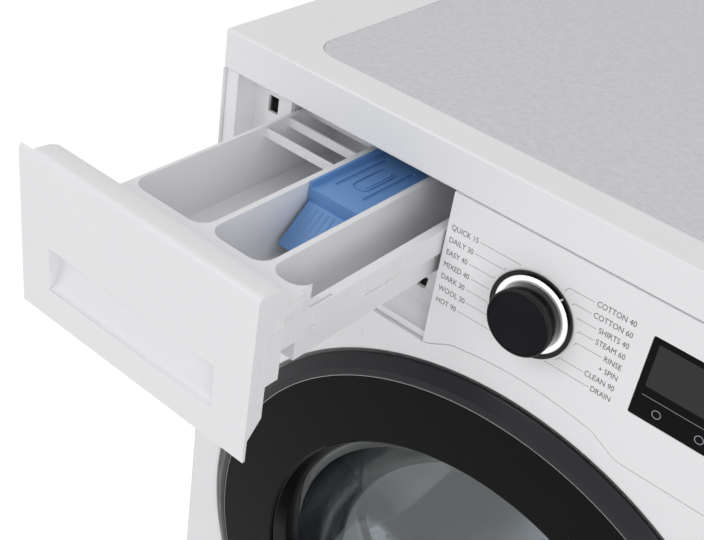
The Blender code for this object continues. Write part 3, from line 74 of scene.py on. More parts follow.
# ---- places read from the frame ---------------------------------------------------------------
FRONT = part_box("front_panel")[0].y
PANEL_LOW, PANEL_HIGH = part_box("control_panel")
RING_LOW, RING_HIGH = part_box("door_ring")
DOOR = (RING_LOW + RING_HIGH) / 2
DOOR_R = (RING_HIGH.x - RING_LOW.x) / 2
KNOB_LOW, KNOB_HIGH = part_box("dial_knob")
DIAL = Vector(((KNOB_LOW.x + KNOB_HIGH.x) / 2, FRONT, (KNOB_LOW.z + KNOB_HIGH.z) / 2))
KNOB_R = (KNOB_HIGH.x - KNOB_LOW.x) / 2
DRAWER_LOW, DRAWER_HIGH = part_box("drawer_front")
TRAY_LOW, TRAY_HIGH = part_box("drawer_tray")
INSERT_LOW, INSERT_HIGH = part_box("softener_insert")
GLASS_R = (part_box("door_glass")[1].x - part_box("door_glass")[0].x) / 2
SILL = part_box("drawer_surround")[0].z
RECORD = frame["record"]
BODY_OF = {node: body for body, nodes in RECORD["behaviour"]["bodies"].items() for node in nodes}


# ---- finishes ---------------------------------------------------------------------------------
def linear(hex_colour: str) -> tuple:
    """Turn an sRGB hex colour into linear RGBA.

    Args:
        hex_colour: colour such as "#AABBCC".

    Returns:
        Four floats, the last one 1.
    """
    channels = [int(hex_colour[i:i + 2], 16) / 255 for i in (1, 3, 5)]
    return tuple(c / 12.92 if c <= 0.04045 else ((c + 0.055) / 1.055) ** 2.4 for c in channels) + (1.0,)


class Graph:
    """A material's node tree with one short call per node."""

    def __init__(self, material: bpy.types.Material) -> None:
        self.tree = material.node_tree
        self.shader = self.tree.nodes["Principled BSDF"]
        self.output = self.tree.nodes["Material Output"]

    def add(self, kind: str, settings: dict | None = None, **inputs: object) -> bpy.types.Node:
        """Add a node.

        Args:
            kind: node type without the "ShaderNode" prefix.
            settings: properties set on the node itself.
            inputs: socket values, or nodes and sockets to link; "_" in a name stands for a space.

        Returns:
            The new node.
        """
        node = self.tree.nodes.new("ShaderNode" + kind)
        for name, value in (settings or {}).items():
            setattr(node, name, value)
        for name, value in inputs.items():
            self.plug(value, node.inputs[int(name[1:])] if name[0] == "i" and name[1:].isdigit()
                      else node.inputs[name.replace("_", " ")])
        return node

    def plug(self, value: object, socket: bpy.types.NodeSocket) -> None:
        """Link a node or socket to a socket, or set its value."""
        if isinstance(value, bpy.types.Node):
            self.tree.links.new(value.outputs[0], socket)
        elif isinstance(value, bpy.types.NodeSocket):
            self.tree.links.new(value, socket)
        else:
            socket.default_value = value

    def coords(self, centre: tuple = (0.0, 0.0, 0.0)) -> bpy.types.Node:
        """Object coordinates measured from a centre."""
        objects = self.add("TexCoord").outputs["Object"]
        return self.add("VectorMath", {"operation": "SUBTRACT"}, i0=objects, i1=tuple(centre))

    def noise(self, size_mm: float, detail: float = 3.0,
              coords: bpy.types.Node | None = None) -> bpy.types.Node:
        """Noise whose blotches are about size_mm across."""
        return self.add("TexNoise", Vector=coords or self.coords(), Scale=1000 / size_mm, Detail=detail)

    def remap(self, value: object, low: float, high: float,
              source: tuple = (0.3, 0.7)) -> bpy.types.Node:
        """Stretch a 0..1 value into the range low..high."""
        node = self.add("MapRange", i0=value)
        node.inputs[1].default_value, node.inputs[2].default_value = source
        node.inputs[3].default_value, node.inputs[4].default_value = low, high
        return node

    def bump(self, height: object, depth_mm: float, strength: float = 1.0) -> bpy.types.Node:
        """Feed a height into the shader's normal, depth_mm high."""
        node = self.add("Bump", Strength=strength, Distance=depth_mm * MM, Height=height)
        self.plug(node, self.shader.inputs["Normal"])
        return node


@dataclass(frozen=True)
class Finish:
    """A moulded or painted surface: slight mottling in colour and roughness and a fine grain."""

    name: str
    colour: str
    roughness: float = 0.4
    metallic: float = 0.0
    coat: float = 0.0
    specular: float = 0.5
    grain_mm: float = 0.5
    grain_depth_mm: float = 0.006
    shade: float = 0.03

    def build(self) -> bpy.types.Material:
        """Make the material.

        Returns:
            A new node material.
        """
        material = bpy.data.materials.new(self.name)
        material.use_nodes = True
        material.diffuse_color = linear(self.colour)
        graph = Graph(material)
        shader = graph.shader
        base = linear(self.colour)
        darker = tuple(c * (1 - self.shade) for c in base[:3]) + (1.0,)
        patches = graph.noise(70)
        share = graph.remap(patches.outputs["Fac"], 0, 1)
        mix = graph.add("MixRGB", Fac=share, Color1=base, Color2=darker)
        graph.plug(mix, shader.inputs["Base Color"])
        smears = graph.noise(18, 4)
        spread = 0.12 * self.roughness
        graph.plug(graph.remap(smears.outputs["Fac"], self.roughness - spread, self.roughness + spread),
                   shader.inputs["Roughness"])
        shader.inputs["Metallic"].default_value = self.metallic
        shader.inputs["Coat Weight"].default_value = self.coat
        shader.inputs["Specular IOR Level"].default_value = self.specular
        shader.inputs["Coat Roughness"].default_value = 0.08
        self.surface(graph)
        return material

    def surface(self, graph: Graph) -> None:
        """Add the relief of this kind of surface."""
        graph.bump(graph.noise(self.grain_mm, 2).outputs["Fac"], self.grain_depth_mm)


@dataclass(frozen=True)
class Woven(Finish):
    """Board embossed with a fine basket weave; its hollows are painted darker as shade."""

    thread_mm: float = 2.2

    def surface(self, graph: Graph) -> None:
        turned = graph.add("Mapping", Vector=graph.coords())
        turned.inputs["Rotation"].default_value = (0, 0, math.radians(38))
        scale = 2 * math.pi / (20 * self.thread_mm * MM)
        waves = [graph.add("TexWave", {"bands_direction": axis}, Vector=turned, Scale=scale,
                           Distortion=1.2, Detail=1.0, Detail_Scale=1.5) for axis in ("X", "Y")]
        cross = graph.add("Math", {"operation": "MULTIPLY"}, i0=waves[0].outputs["Fac"],
                          i1=waves[1].outputs["Fac"])
        flecks = graph.add("TexVoronoi", Vector=turned, Scale=1000 / (2.5 * self.thread_mm))
        relief = graph.add("Math", {"operation": "MULTIPLY_ADD"}, i0=flecks.outputs["Distance"], i1=0.5,
                           i2=cross.outputs[0])
        # painted shade: the colour turns to #CFCFD2 grey where the weave's relief is low
        painted_hollow_shade = graph.add("MixRGB", Fac=graph.remap(relief, 0, 1, (0.1, 0.9)), Color1=linear("#CFCFD2"),
                         Color2=linear(self.colour))
        graph.plug(painted_hollow_shade, graph.shader.inputs["Base Color"])
        graph.bump(relief, 0.12, 0.7)


@dataclass(frozen=True)
class Spun(Finish):
    """Metal turned on a lathe: fine rings and streaks that run round a centre."""

    centre: tuple = (0.0, 0.0, 0.0)
    ring_mm: float = 0.35

    def surface(self, graph: Graph) -> None:
        local = graph.coords(self.centre)
        rings = graph.add("TexWave", {"wave_type": "RINGS", "rings_direction": "Y"}, Vector=local,
                          Scale=2 * math.pi / (20 * self.ring_mm * MM), Distortion=0.6, Detail=2.0)
        graph.bump(rings.outputs["Fac"], 0.012, 0.6)
        tangent = graph.add("VectorMath", {"operation": "CROSS_PRODUCT"}, i0=local, i1=(0.0, 1.0, 0.0))
        unit = graph.add("VectorMath", {"operation": "NORMALIZE"}, i0=tangent)
        graph.plug(unit, graph.shader.inputs["Tangent"])
        graph.shader.inputs["Anisotropic"].default_value = 0.85


@dataclass(frozen=True)
class Brushed(Finish):
    """Sheet steel with long thin rolling marks along X."""

    def surface(self, graph: Graph) -> None:
        stretched = graph.add("Mapping", Vector=graph.coords())
        stretched.inputs["Scale"].default_value = (0.03, 1.0, 1.0)
        marks = graph.noise(0.5, 4, stretched)
        graph.bump(marks.outputs["Fac"], 0.01, 0.5)
        graph.shader.inputs["Anisotropic"].default_value = 0.4


@dataclass(frozen=True)
class ClearGlass(Finish):
    """Thin clear glass: see-through face on, mirror-like at a glancing angle."""

    def build(self) -> bpy.types.Material:
        material = bpy.data.materials.new(self.name)
        material.use_nodes = True
        material.diffuse_color = linear(self.colour)
        graph = Graph(material)
        ripples = graph.noise(60, 2)
        relief = graph.add("Bump", Strength=0.25, Distance=0.4 * MM, Height=ripples.outputs["Fac"])
        clear = graph.add("BsdfTransparent", Color=linear(self.colour))
        shine = graph.add("BsdfGlossy", Roughness=self.roughness, Normal=relief)
        edge = graph.add("LayerWeight", Blend=0.35, Normal=relief)
        weight = graph.remap(edge.outputs["Fresnel"], 0.05, 0.9, (0.0, 1.0))
        mixed = graph.add("MixShader", i0=weight, i1=clear, i2=shine)
        graph.plug(mixed, graph.output.inputs["Surface"])
        return material


@dataclass(frozen=True)
class Rough(Finish):
    """Cast or sprayed matter with pits, such as concrete."""

    pit_mm: float = 6.0

    def surface(self, graph: Graph) -> None:
        pits = graph.add("TexVoronoi", Vector=graph.coords(), Scale=1000 / self.pit_mm)
        grit = graph.noise(1.5, 5)
        relief = graph.add("Math", {"operation": "MULTIPLY_ADD"}, i0=pits.outputs["Distance"], i1=0.5,
                           i2=grit.outputs["Fac"])
        graph.bump(relief, 0.4, 0.8)


@dataclass(frozen=True)
class Lit(Finish):
    """Translucent plastic lit from behind."""

    glow: float = 0.6

    def surface(self, graph: Graph) -> None:
        graph.shader.inputs["Emission Color"].default_value = linear(self.colour)
        graph.shader.inputs["Emission Strength"].default_value = self.glow
        graph.bump(graph.noise(self.grain_mm, 2).outputs["Fac"], self.grain_depth_mm)


@dataclass(frozen=True)
class Backdrop(Finish):
    """Seamless white studio floor, brighter to the lens than it shines on the object."""

    def surface(self, graph: Graph) -> None:
        seen = graph.remap(graph.add("LightPath").outputs["Is Camera Ray"], 0.0, 0.35, (0.0, 1.0))
        graph.shader.inputs["Emission Color"].default_value = linear(self.colour)
        graph.plug(seen, graph.shader.inputs["Emission Strength"])


FINISHES = {
    "enamel": Finish("white_enamelled_steel", "#F4F4F6", 0.30, coat=0.2, grain_mm=2.5,
                     grain_depth_mm=0.0025, shade=0.015),
    "white": Finish("white_moulded_abs", "#F5F5F7", 0.36, grain_mm=0.45, grain_depth_mm=0.004,
                    shade=0.015),
    "tray": Finish("white_polypropylene", "#F1F1F3", 0.42, grain_mm=0.6, grain_depth_mm=0.008,
                   shade=0.02),
    "woven": Woven("woven_emboss_laminate", "#E3E3E6", 0.5),
    "blue": Finish("blue_polypropylene", "#6F9DD6", 0.34, grain_mm=0.6, grain_depth_mm=0.006,
                   shade=0.08),
    "black": Finish("black_moulded_abs", "#0B0B0D", 0.2, specular=0.35, grain_mm=0.4,
                    grain_depth_mm=0.003, shade=0.1),
    "bevel": Finish("dark_grey_satin_abs", "#232227", 0.36, specular=0.4, grain_mm=0.4,
                    grain_depth_mm=0.004, shade=0.08),
    "ink_glass": Finish("black_backprinted_glass", "#020203", 0.08, specular=0.12, grain_mm=60,
                        grain_depth_mm=0.02, shade=0.0),
    "screen": Finish("smoked_display_film", "#16171A", 0.18, grain_mm=30, grain_depth_mm=0.01,
                     shade=0.05),
    "screen_print": Lit("dim_display_segments", "#8E949B", 0.4, glow=0.25),
    # painted shade: the dispenser lid is coloured mid grey for the shade inside the drawer recess
    "recess_painted_shade": Finish("grey_painted_recess_shade", "#8A8B8F", 0.5, grain_mm=1.0, grain_depth_mm=0.02),
    "glass": ClearGlass("clear_pressed_glass", "#E9EEEF", 0.02),
    # painted highlight: light silver for the bright line along the door glass's edge
    "silver": Finish("satin_silver_painted_highlight", "#C9CACD", 0.24, metallic=1.0, grain_mm=0.3,
                     grain_depth_mm=0.002, shade=0.04),
    "lit": Lit("light_guide_acrylic", "#F2F4F5", 0.25),
    "spun": Spun("black_anodised_spun_aluminium", "#26262A", 0.42, metallic=1.0,
                 centre=tuple(DIAL)),
    "stainless": Brushed("brushed_stainless_steel", "#C4C7CA", 0.24, metallic=1.0, shade=0.05),
    "zinc": Brushed("zinc_plated_steel", "#AEB3B8", 0.38, metallic=1.0, shade=0.12),
    "cast": Rough("cast_aluminium", "#9EA1A4", 0.45, metallic=1.0, pit_mm=3.0, shade=0.1),
    "grey_rubber": Finish("grey_epdm_rubber", "#7F8083", 0.62, grain_mm=1.2, grain_depth_mm=0.03,
                          shade=0.1),
    # also used for the drum's drain holes, where its black is painted shade
    "rubber": Finish("black_rubber", "#1A1A1B", 0.7, grain_mm=1.0, grain_depth_mm=0.04, shade=0.15),
    "tub": Finish("filled_polypropylene", "#D0D0CB", 0.5, grain_mm=1.0, grain_depth_mm=0.02,
                  shade=0.06),
    "concrete": Rough("cast_concrete", "#8D8A84", 0.9, shade=0.2),
    "board": Finish("green_circuit_board", "#2C5A38", 0.45, grain_mm=2.0, grain_depth_mm=0.05,
                    shade=0.2),
    "ink": Finish("dark_grey_print_ink", "#55565A", 0.55, shade=0.02),
    "white_ink": Finish("white_print_ink", "#E8E8EA", 0.5, shade=0.02),
    "floor": Backdrop("pale_studio_floor", "#FFFFFF", 0.85, shade=0.0),
}
MATERIALS = {key: finish.build() for key, finish in FINISHES.items()}


# ---- shaping tools ----------------------------------------------------------------------------
def link(mesh: bpy.types.Mesh, name: str = "shape") -> bpy.types.Object:
    """Wrap a mesh in an object of the looks' collection."""
    obj = bpy.data.objects.new(name, mesh)
    COLLECTION.objects.link(obj)
    return obj


def settle(obj: bpy.types.Object) -> bpy.types.Object:
    """Bake an object's modifiers and place into a plain mesh at the origin.

    Args:
        obj: a mesh or curve object.

    Returns:
        The new mesh object; the old one is removed.
    """
    bpy.context.view_layer.update()
    graph = bpy.context.evaluated_depsgraph_get()
    mesh = bpy.data.meshes.new_from_object(obj.evaluated_get(graph), depsgraph=graph)
    mesh.transform(obj.matrix_world)
    bpy.data.objects.remove(obj, do_unlink=True)
    return link(mesh)


def block(low: tuple, high: tuple) -> bpy.types.Object:
    """A box between two corners, used as a start or a cutter."""
    work = bmesh.new()
    size, middle = Vector(high) - Vector(low), (Vector(high) + Vector(low)) / 2
    bmesh.ops.create_cube(work, size=1, matrix=Matrix.Translation(middle) @ Matrix.Diagonal((*size, 1)))
    mesh = bpy.data.meshes.new("block")
    work.to_mesh(mesh)
    work.free()
    return link(mesh)


def rod(start: tuple, end: tuple, radius: float, segments: int = 48) -> bpy.types.Object:
    """A round bar between two points."""
    start, end = Vector(start), Vector(end)
    turn = (end - start).to_track_quat("Z", "Y").to_matrix().to_4x4()
    work = bmesh.new()
    bmesh.ops.create_cone(work, cap_ends=True, segments=segments, radius1=radius, radius2=radius,
                          depth=(end - start).length,
                          matrix=Matrix.Translation((start + end) / 2) @ turn)
    mesh = bpy.data.meshes.new("rod")
    work.to_mesh(mesh)
    work.free()
    return link(mesh)


def rounded_profile(points: list, radius: float, steps: int = 4) -> list:
    """Round a closed profile's corners with short arcs."""
    made = []
    for before, here, after in zip(points[-1:] + points[:-1], points, points[1:] + points[:1]):
        p, q, r = Vector(before), Vector(here), Vector(after)
        reach = min(radius, (p - q).length * 0.45, (r - q).length * 0.45)
        start, end = q + (p - q).normalized() * reach, q + (r - q).normalized() * reach
        for i in range(steps + 1):
            t = i / steps
            made.append(tuple(start * (1 - t) ** 2 + q * 2 * t * (1 - t) + end * t ** 2))
    return made


def spun(profile: list, centre: tuple, axis: str = "Y", segments: int = FINE,
         corner: float = 0.0) -> bpy.types.Object:
    """Turn a closed profile about an axis.

    Args:
        profile: (radius, distance along the axis) pairs; a turned disc begins and ends on the axis.
        centre: where the axis starts.
        axis: "Y" for front to back, "Z" for upwards.
        segments: facets around.
        corner: radius that the profile's corners are rounded to.

    Returns:
        The mesh object.
    """
    area = sum(a[0] * b[1] - b[0] * a[1] for a, b in zip(profile, profile[1:] + profile[:1]))
    points = profile if area < 0 else profile[::-1]
    on_axis = [i for i, p in enumerate(points) if p[0] == 0]
    if on_axis:
        first = next(i for i in on_axis if points[i - 1][0] == 0)
        points = points[first:] + points[:first]
        if corner:
            points = [points[0]] + rounded_profile(points, corner)[5:-5] + [points[-1]]
    elif corner:
        points = rounded_profile(points, corner)
    mesh = bpy.data.meshes.new("profile")
    edges = [(i, i + 1) for i in range(len(points) - 1)]
    if not on_axis:
        edges.append((len(points) - 1, 0))
    mesh.from_pydata([(r, 0, h) for r, h in points], edges, [])
    obj = link(mesh)
    screw = obj.modifiers.new("turn", "SCREW")
    screw.steps = screw.render_steps = segments
    screw.use_merge_vertices = True
    screw.merge_threshold = 0.000005
    if axis == "Y":
        obj.rotation_euler = (-math.pi / 2, 0, 0)
    obj.location = centre
    return settle(obj)


def plate(loops: list, low: float, high: float, plane: Plane = Plane.XZ) -> bpy.types.Object:
    """A flat piece cut to an outline, with holes, between two distances along its third axis."""
    curve = bpy.data.curves.new("plate", "CURVE")
    curve.dimensions = "2D"
    curve.fill_mode = "BOTH"
    curve.extrude = (high - low) / 2
    for loop in loops:
        spline = curve.splines.new("POLY")
        spline.points.add(len(loop) - 1)
        for point, (u, v) in zip(spline.points, loop):
            point.co = (u, v, 0, 1)
        spline.use_cyclic_u = True
    obj = bpy.data.objects.new("plate", curve)
    COLLECTION.objects.link(obj)
    middle = (low + high) / 2
    if plane is Plane.XZ:
        obj.matrix_world = Matrix.Translation((0, middle, 0)) @ Matrix.Rotation(math.pi / 2, 4, "X")
    elif plane is Plane.YZ:
        obj.matrix_world = Matrix(((0, 0, 1, middle), (1, 0, 0, 0), (0, 1, 0, 0), (0, 0, 0, 1)))
    else:
        obj.location.z = middle
    made = settle(obj)
    weld(made, 0.05)
    return made


def weld(obj: bpy.types.Object, flat: float = 0.0) -> None:
    """Join doubled corners, face everything outward and merge faces flatter than flat degrees."""
    work = bmesh.new()
    work.from_mesh(obj.data)
    bmesh.ops.remove_doubles(work, verts=work.verts, dist=0.000005)
    if flat:
        bmesh.ops.dissolve_limit(work, angle_limit=math.radians(flat), verts=work.verts,
                                 edges=work.edges)
    bmesh.ops.recalc_face_normals(work, faces=work.faces)
    work.to_mesh(obj.data)
    work.free()


def tube(points: list, radius: float, sides: int = 3) -> bpy.types.Object:
    """A round wire through points, with closed ends."""
    curve = bpy.data.curves.new("tube", "CURVE")
    curve.dimensions = "3D"
    curve.bevel_depth = radius
    curve.bevel_resolution = sides
    curve.use_fill_caps = True
    spline = curve.splines.new("POLY")
    spline.points.add(len(points) - 1)
    for point, place in zip(spline.points, points):
        point.co = (*place, 1)
    obj = bpy.data.objects.new("tube", curve)
    COLLECTION.objects.link(obj)
    made = settle(obj)
    weld(made)
    return made


def arc(cx: float, cy: float, radius: float, start: float, end: float, count: int = 13) -> list:
    """Points along a circle from start to end, in degrees, both included."""
    step = math.radians(end - start) / (count - 1)
    first = math.radians(start)
    return [(cx + radius * math.cos(first + i * step), cy + radius * math.sin(first + i * step))
            for i in range(count)]


def rounded(x0: float, y0: float, x1: float, y1: float, radius: float, count: int = 7) -> list:
    """A rectangle with round corners."""
    return (arc(x1 - radius, y0 + radius, radius, -90, 0, count)
            + arc(x1 - radius, y1 - radius, radius, 0, 90, count)
            + arc(x0 + radius, y1 - radius, radius, 90, 180, count)
            + arc(x0 + radius, y0 + radius, radius, 180, 270, count))


def combine(obj: bpy.types.Object, operation: str, tools: tuple) -> bpy.types.Object:
    """Apply Booleans to an object.

    Args:
        obj: the piece.
        operation: "DIFFERENCE" or "UNION".
        tools: objects to take away or add, removed afterwards.

    Returns:
        The new object.
    """
    for number, tool in enumerate(tools):
        step = obj.modifiers.new(f"step_{number}", "BOOLEAN")
        step.operation = operation
        step.solver = "EXACT"
        step.object = tool
    made = settle(obj)
    for tool in tools:
        bpy.data.objects.remove(tool, do_unlink=True)
    return made


def carve(obj: bpy.types.Object, *tools: bpy.types.Object) -> bpy.types.Object:
    """Take tools away from an object."""
    return combine(obj, "DIFFERENCE", tools)


def grow(obj: bpy.types.Object, *tools: bpy.types.Object) -> bpy.types.Object:
    """Join tools to an object."""
    return combine(obj, "UNION", tools)


def merge(objects: list) -> bpy.types.Object:
    """Put several meshes in one object without cutting them."""
    work = bmesh.new()
    for obj in objects:
        work.from_mesh(obj.data)
        bpy.data.objects.remove(obj, do_unlink=True)
    mesh = bpy.data.meshes.new("merged")
    work.to_mesh(mesh)
    work.free()
    return link(mesh)


def from_cad(node: str) -> bpy.types.Object:
    """A clean copy of a CAD node's mesh to add detail to."""
    obj = link(frame["nodes"][node].data.copy())
    obj.data.materials.clear()
    weld(obj, 0.4)
    return obj


def soften(obj: bpy.types.Object, width: float, angle: float = 32,
           segments: int = 3) -> bpy.types.Object:
    """Round sharp edges by width."""
    weld(obj)
    bevel = obj.modifiers.new("edges", "BEVEL")
    bevel.width = width
    bevel.segments = segments
    bevel.limit_method = "ANGLE"
    bevel.angle_limit = math.radians(angle)
    bevel.use_clamp_overlap = True
    bevel.miter_outer = "MITER_ARC"
    bevel.face_strength_mode = "FSTR_ALL"
    return settle(obj)


def even_normals(obj: bpy.types.Object, angle: float) -> bpy.types.Object:
    """Shade an object round across edges flatter than angle, with flat faces kept flat."""
    obj.data.shade_smooth()
    obj.data.set_sharp_from_angle(angle=math.radians(angle))
    weighted = obj.modifiers.new("normals", "WEIGHTED_NORMAL")
    weighted.mode = "FACE_AREA"
    weighted.weight = 100
    weighted.keep_sharp = True
    weighted.use_face_influence = True
    return settle(obj)


def finish_piece(obj: bpy.types.Object, name: str, finish: str, body: str, *nodes: str,
                 smooth: float = 40) -> bpy.types.Object:
    """Name, shade and dress a piece and hang it on its CAD body.

    Args:
        obj: the shape.
        name: the piece's name.
        finish: key of FINISHES.
        body: CAD body that it moves with.
        nodes: CAD nodes that it stands for.
        smooth: edges flatter than this many degrees are shaded round.

    Returns:
        The finished object.
    """
    obj = even_normals(obj, smooth)
    obj.name = obj.data.name = name
    obj.data.materials.clear()
    obj.data.materials.append(MATERIALS[finish])
    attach(obj, body)
    if nodes:
        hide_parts(*nodes)
    LOG.info("%s: %d faces on %s", name, len(obj.data.polygons), body)
    return obj




# ---- repeated details -------------------------------------------------------------------------
class Array:
    """Geometry Nodes setup that repeats a shape at the corners of a grid, flat or round a cylinder."""

    def __init__(self) -> None:
        tree = bpy.data.node_groups.new("repeat_on_grid", "GeometryNodeTree")
        self.tree = tree
        face = tree.interface
        face.new_socket("Geometry", in_out="INPUT", socket_type="NodeSocketGeometry")
        for name, kind in (("Shape", "NodeSocketObject"), ("Count U", "NodeSocketInt"),
                           ("Count V", "NodeSocketInt"), ("Length U", "NodeSocketFloat"),
                           ("Length V", "NodeSocketFloat"), ("Radius", "NodeSocketFloat"),
                           ("Material", "NodeSocketMaterial")):
            face.new_socket(name, in_out="INPUT", socket_type=kind)
        face.new_socket("Geometry", in_out="OUTPUT", socket_type="NodeSocketGeometry")
        add = tree.nodes.new
        source, result = add("NodeGroupInput"), add("NodeGroupOutput")
        grid, spot = add("GeometryNodeMeshGrid"), add("GeometryNodeInstanceOnPoints")
        for socket, name in (("Size X", "Length U"), ("Size Y", "Length V"), ("Vertices X", "Count U"),
                             ("Vertices Y", "Count V")):
            tree.links.new(source.outputs[name], grid.inputs[socket])
        position, split = add("GeometryNodeInputPosition"), add("ShaderNodeSeparateXYZ")
        tree.links.new(position.outputs[0], split.inputs[0])
        angle = self.math("DIVIDE", split.outputs["X"], source.outputs["Radius"])
        east = self.math("MULTIPLY", self.math("SINE", angle), source.outputs["Radius"])
        up = self.math("MULTIPLY", self.math("COSINE", angle), source.outputs["Radius"])
        wrapped, turn = add("ShaderNodeCombineXYZ"), add("ShaderNodeCombineXYZ")
        for socket, value in zip(wrapped.inputs, (east, split.outputs["Y"], up)):
            tree.links.new(value, socket)
        tree.links.new(angle, turn.inputs["Y"])
        place = add("GeometryNodeSetPosition")
        tree.links.new(wrapped.outputs[0], place.inputs["Position"])
        info = add("GeometryNodeObjectInfo")
        tree.links.new(source.outputs["Shape"], info.inputs["Object"])
        store = add("GeometryNodeCaptureAttribute")
        store.capture_items.new("VECTOR", "turn")
        tree.links.new(grid.outputs["Mesh"], store.inputs["Geometry"])
        tree.links.new(turn.outputs[0], store.inputs["turn"])
        tree.links.new(store.outputs["Geometry"], place.inputs["Geometry"])
        tree.links.new(place.outputs["Geometry"], spot.inputs["Points"])
        tree.links.new(info.outputs["Geometry"], spot.inputs["Instance"])
        tree.links.new(store.outputs["turn"], spot.inputs["Rotation"])
        real, paint = add("GeometryNodeRealizeInstances"), add("GeometryNodeSetMaterial")
        tree.links.new(spot.outputs[0], real.inputs[0])
        tree.links.new(real.outputs[0], paint.inputs["Geometry"])
        tree.links.new(source.outputs["Material"], paint.inputs["Material"])
        tree.links.new(paint.outputs[0], result.inputs[0])

    def math(self, operation: str, first: bpy.types.NodeSocket,
             second: bpy.types.NodeSocket | None = None) -> bpy.types.NodeSocket:
        """Add a math node and return its output."""
        node = self.tree.nodes.new("ShaderNodeMath")
        node.operation = operation
        self.tree.links.new(first, node.inputs[0])
        if second is not None:
            self.tree.links.new(second, node.inputs[1])
        return node.outputs[0]

    def spread(self, shape: bpy.types.Object, count: tuple, length: tuple, radius: float,
               matrix: Matrix, finish: str) -> bpy.types.Object:
        """Repeat a shape.

        Args:
            shape: object to repeat, removed afterwards.
            count: how many along U and V.
            length: the grid's size along U and V.
            radius: radius of the cylinder that U is wrapped round; a huge one is flat.
            matrix: where the grid goes.
            finish: key of FINISHES.

        Returns:
            One plain mesh object.
        """
        holder = link(bpy.data.meshes.new("holder"))
        nodes = holder.modifiers.new("repeat", "NODES")
        nodes.node_group = self.tree
        values = {"Shape": shape, "Count U": count[0], "Count V": count[1], "Length U": length[0],
                  "Length V": length[1], "Radius": radius, "Material": MATERIALS[finish]}
        for item in self.tree.interface.items_tree:
            if item.item_type == "SOCKET" and item.in_out == "INPUT" and item.name in values:
                nodes[item.identifier] = values[item.name]
        made = settle(holder)
        made.data.transform(matrix)
        bpy.data.objects.remove(shape, do_unlink=True)
        return made


ARRAY = Array()


def screw_head(radius: float = 4 * MM) -> bpy.types.Object:
    """A pan head with a cross recess, facing +Z, whose seat is at the origin."""
    head = spun([(0, 0), (radius, 0), (radius, 0.5 * radius), (0.5 * radius, 0.72 * radius),
                 (0, 0.75 * radius)], (0, 0, 0), axis="Z", segments=24)
    arm, deep = 0.13 * radius, 0.35 * radius
    reach = 0.55 * radius
    tools = [block((-a, -b, deep), (a, b, radius)) for a, b in ((arm, reach), (reach, arm))]
    return carve(head, *tools)


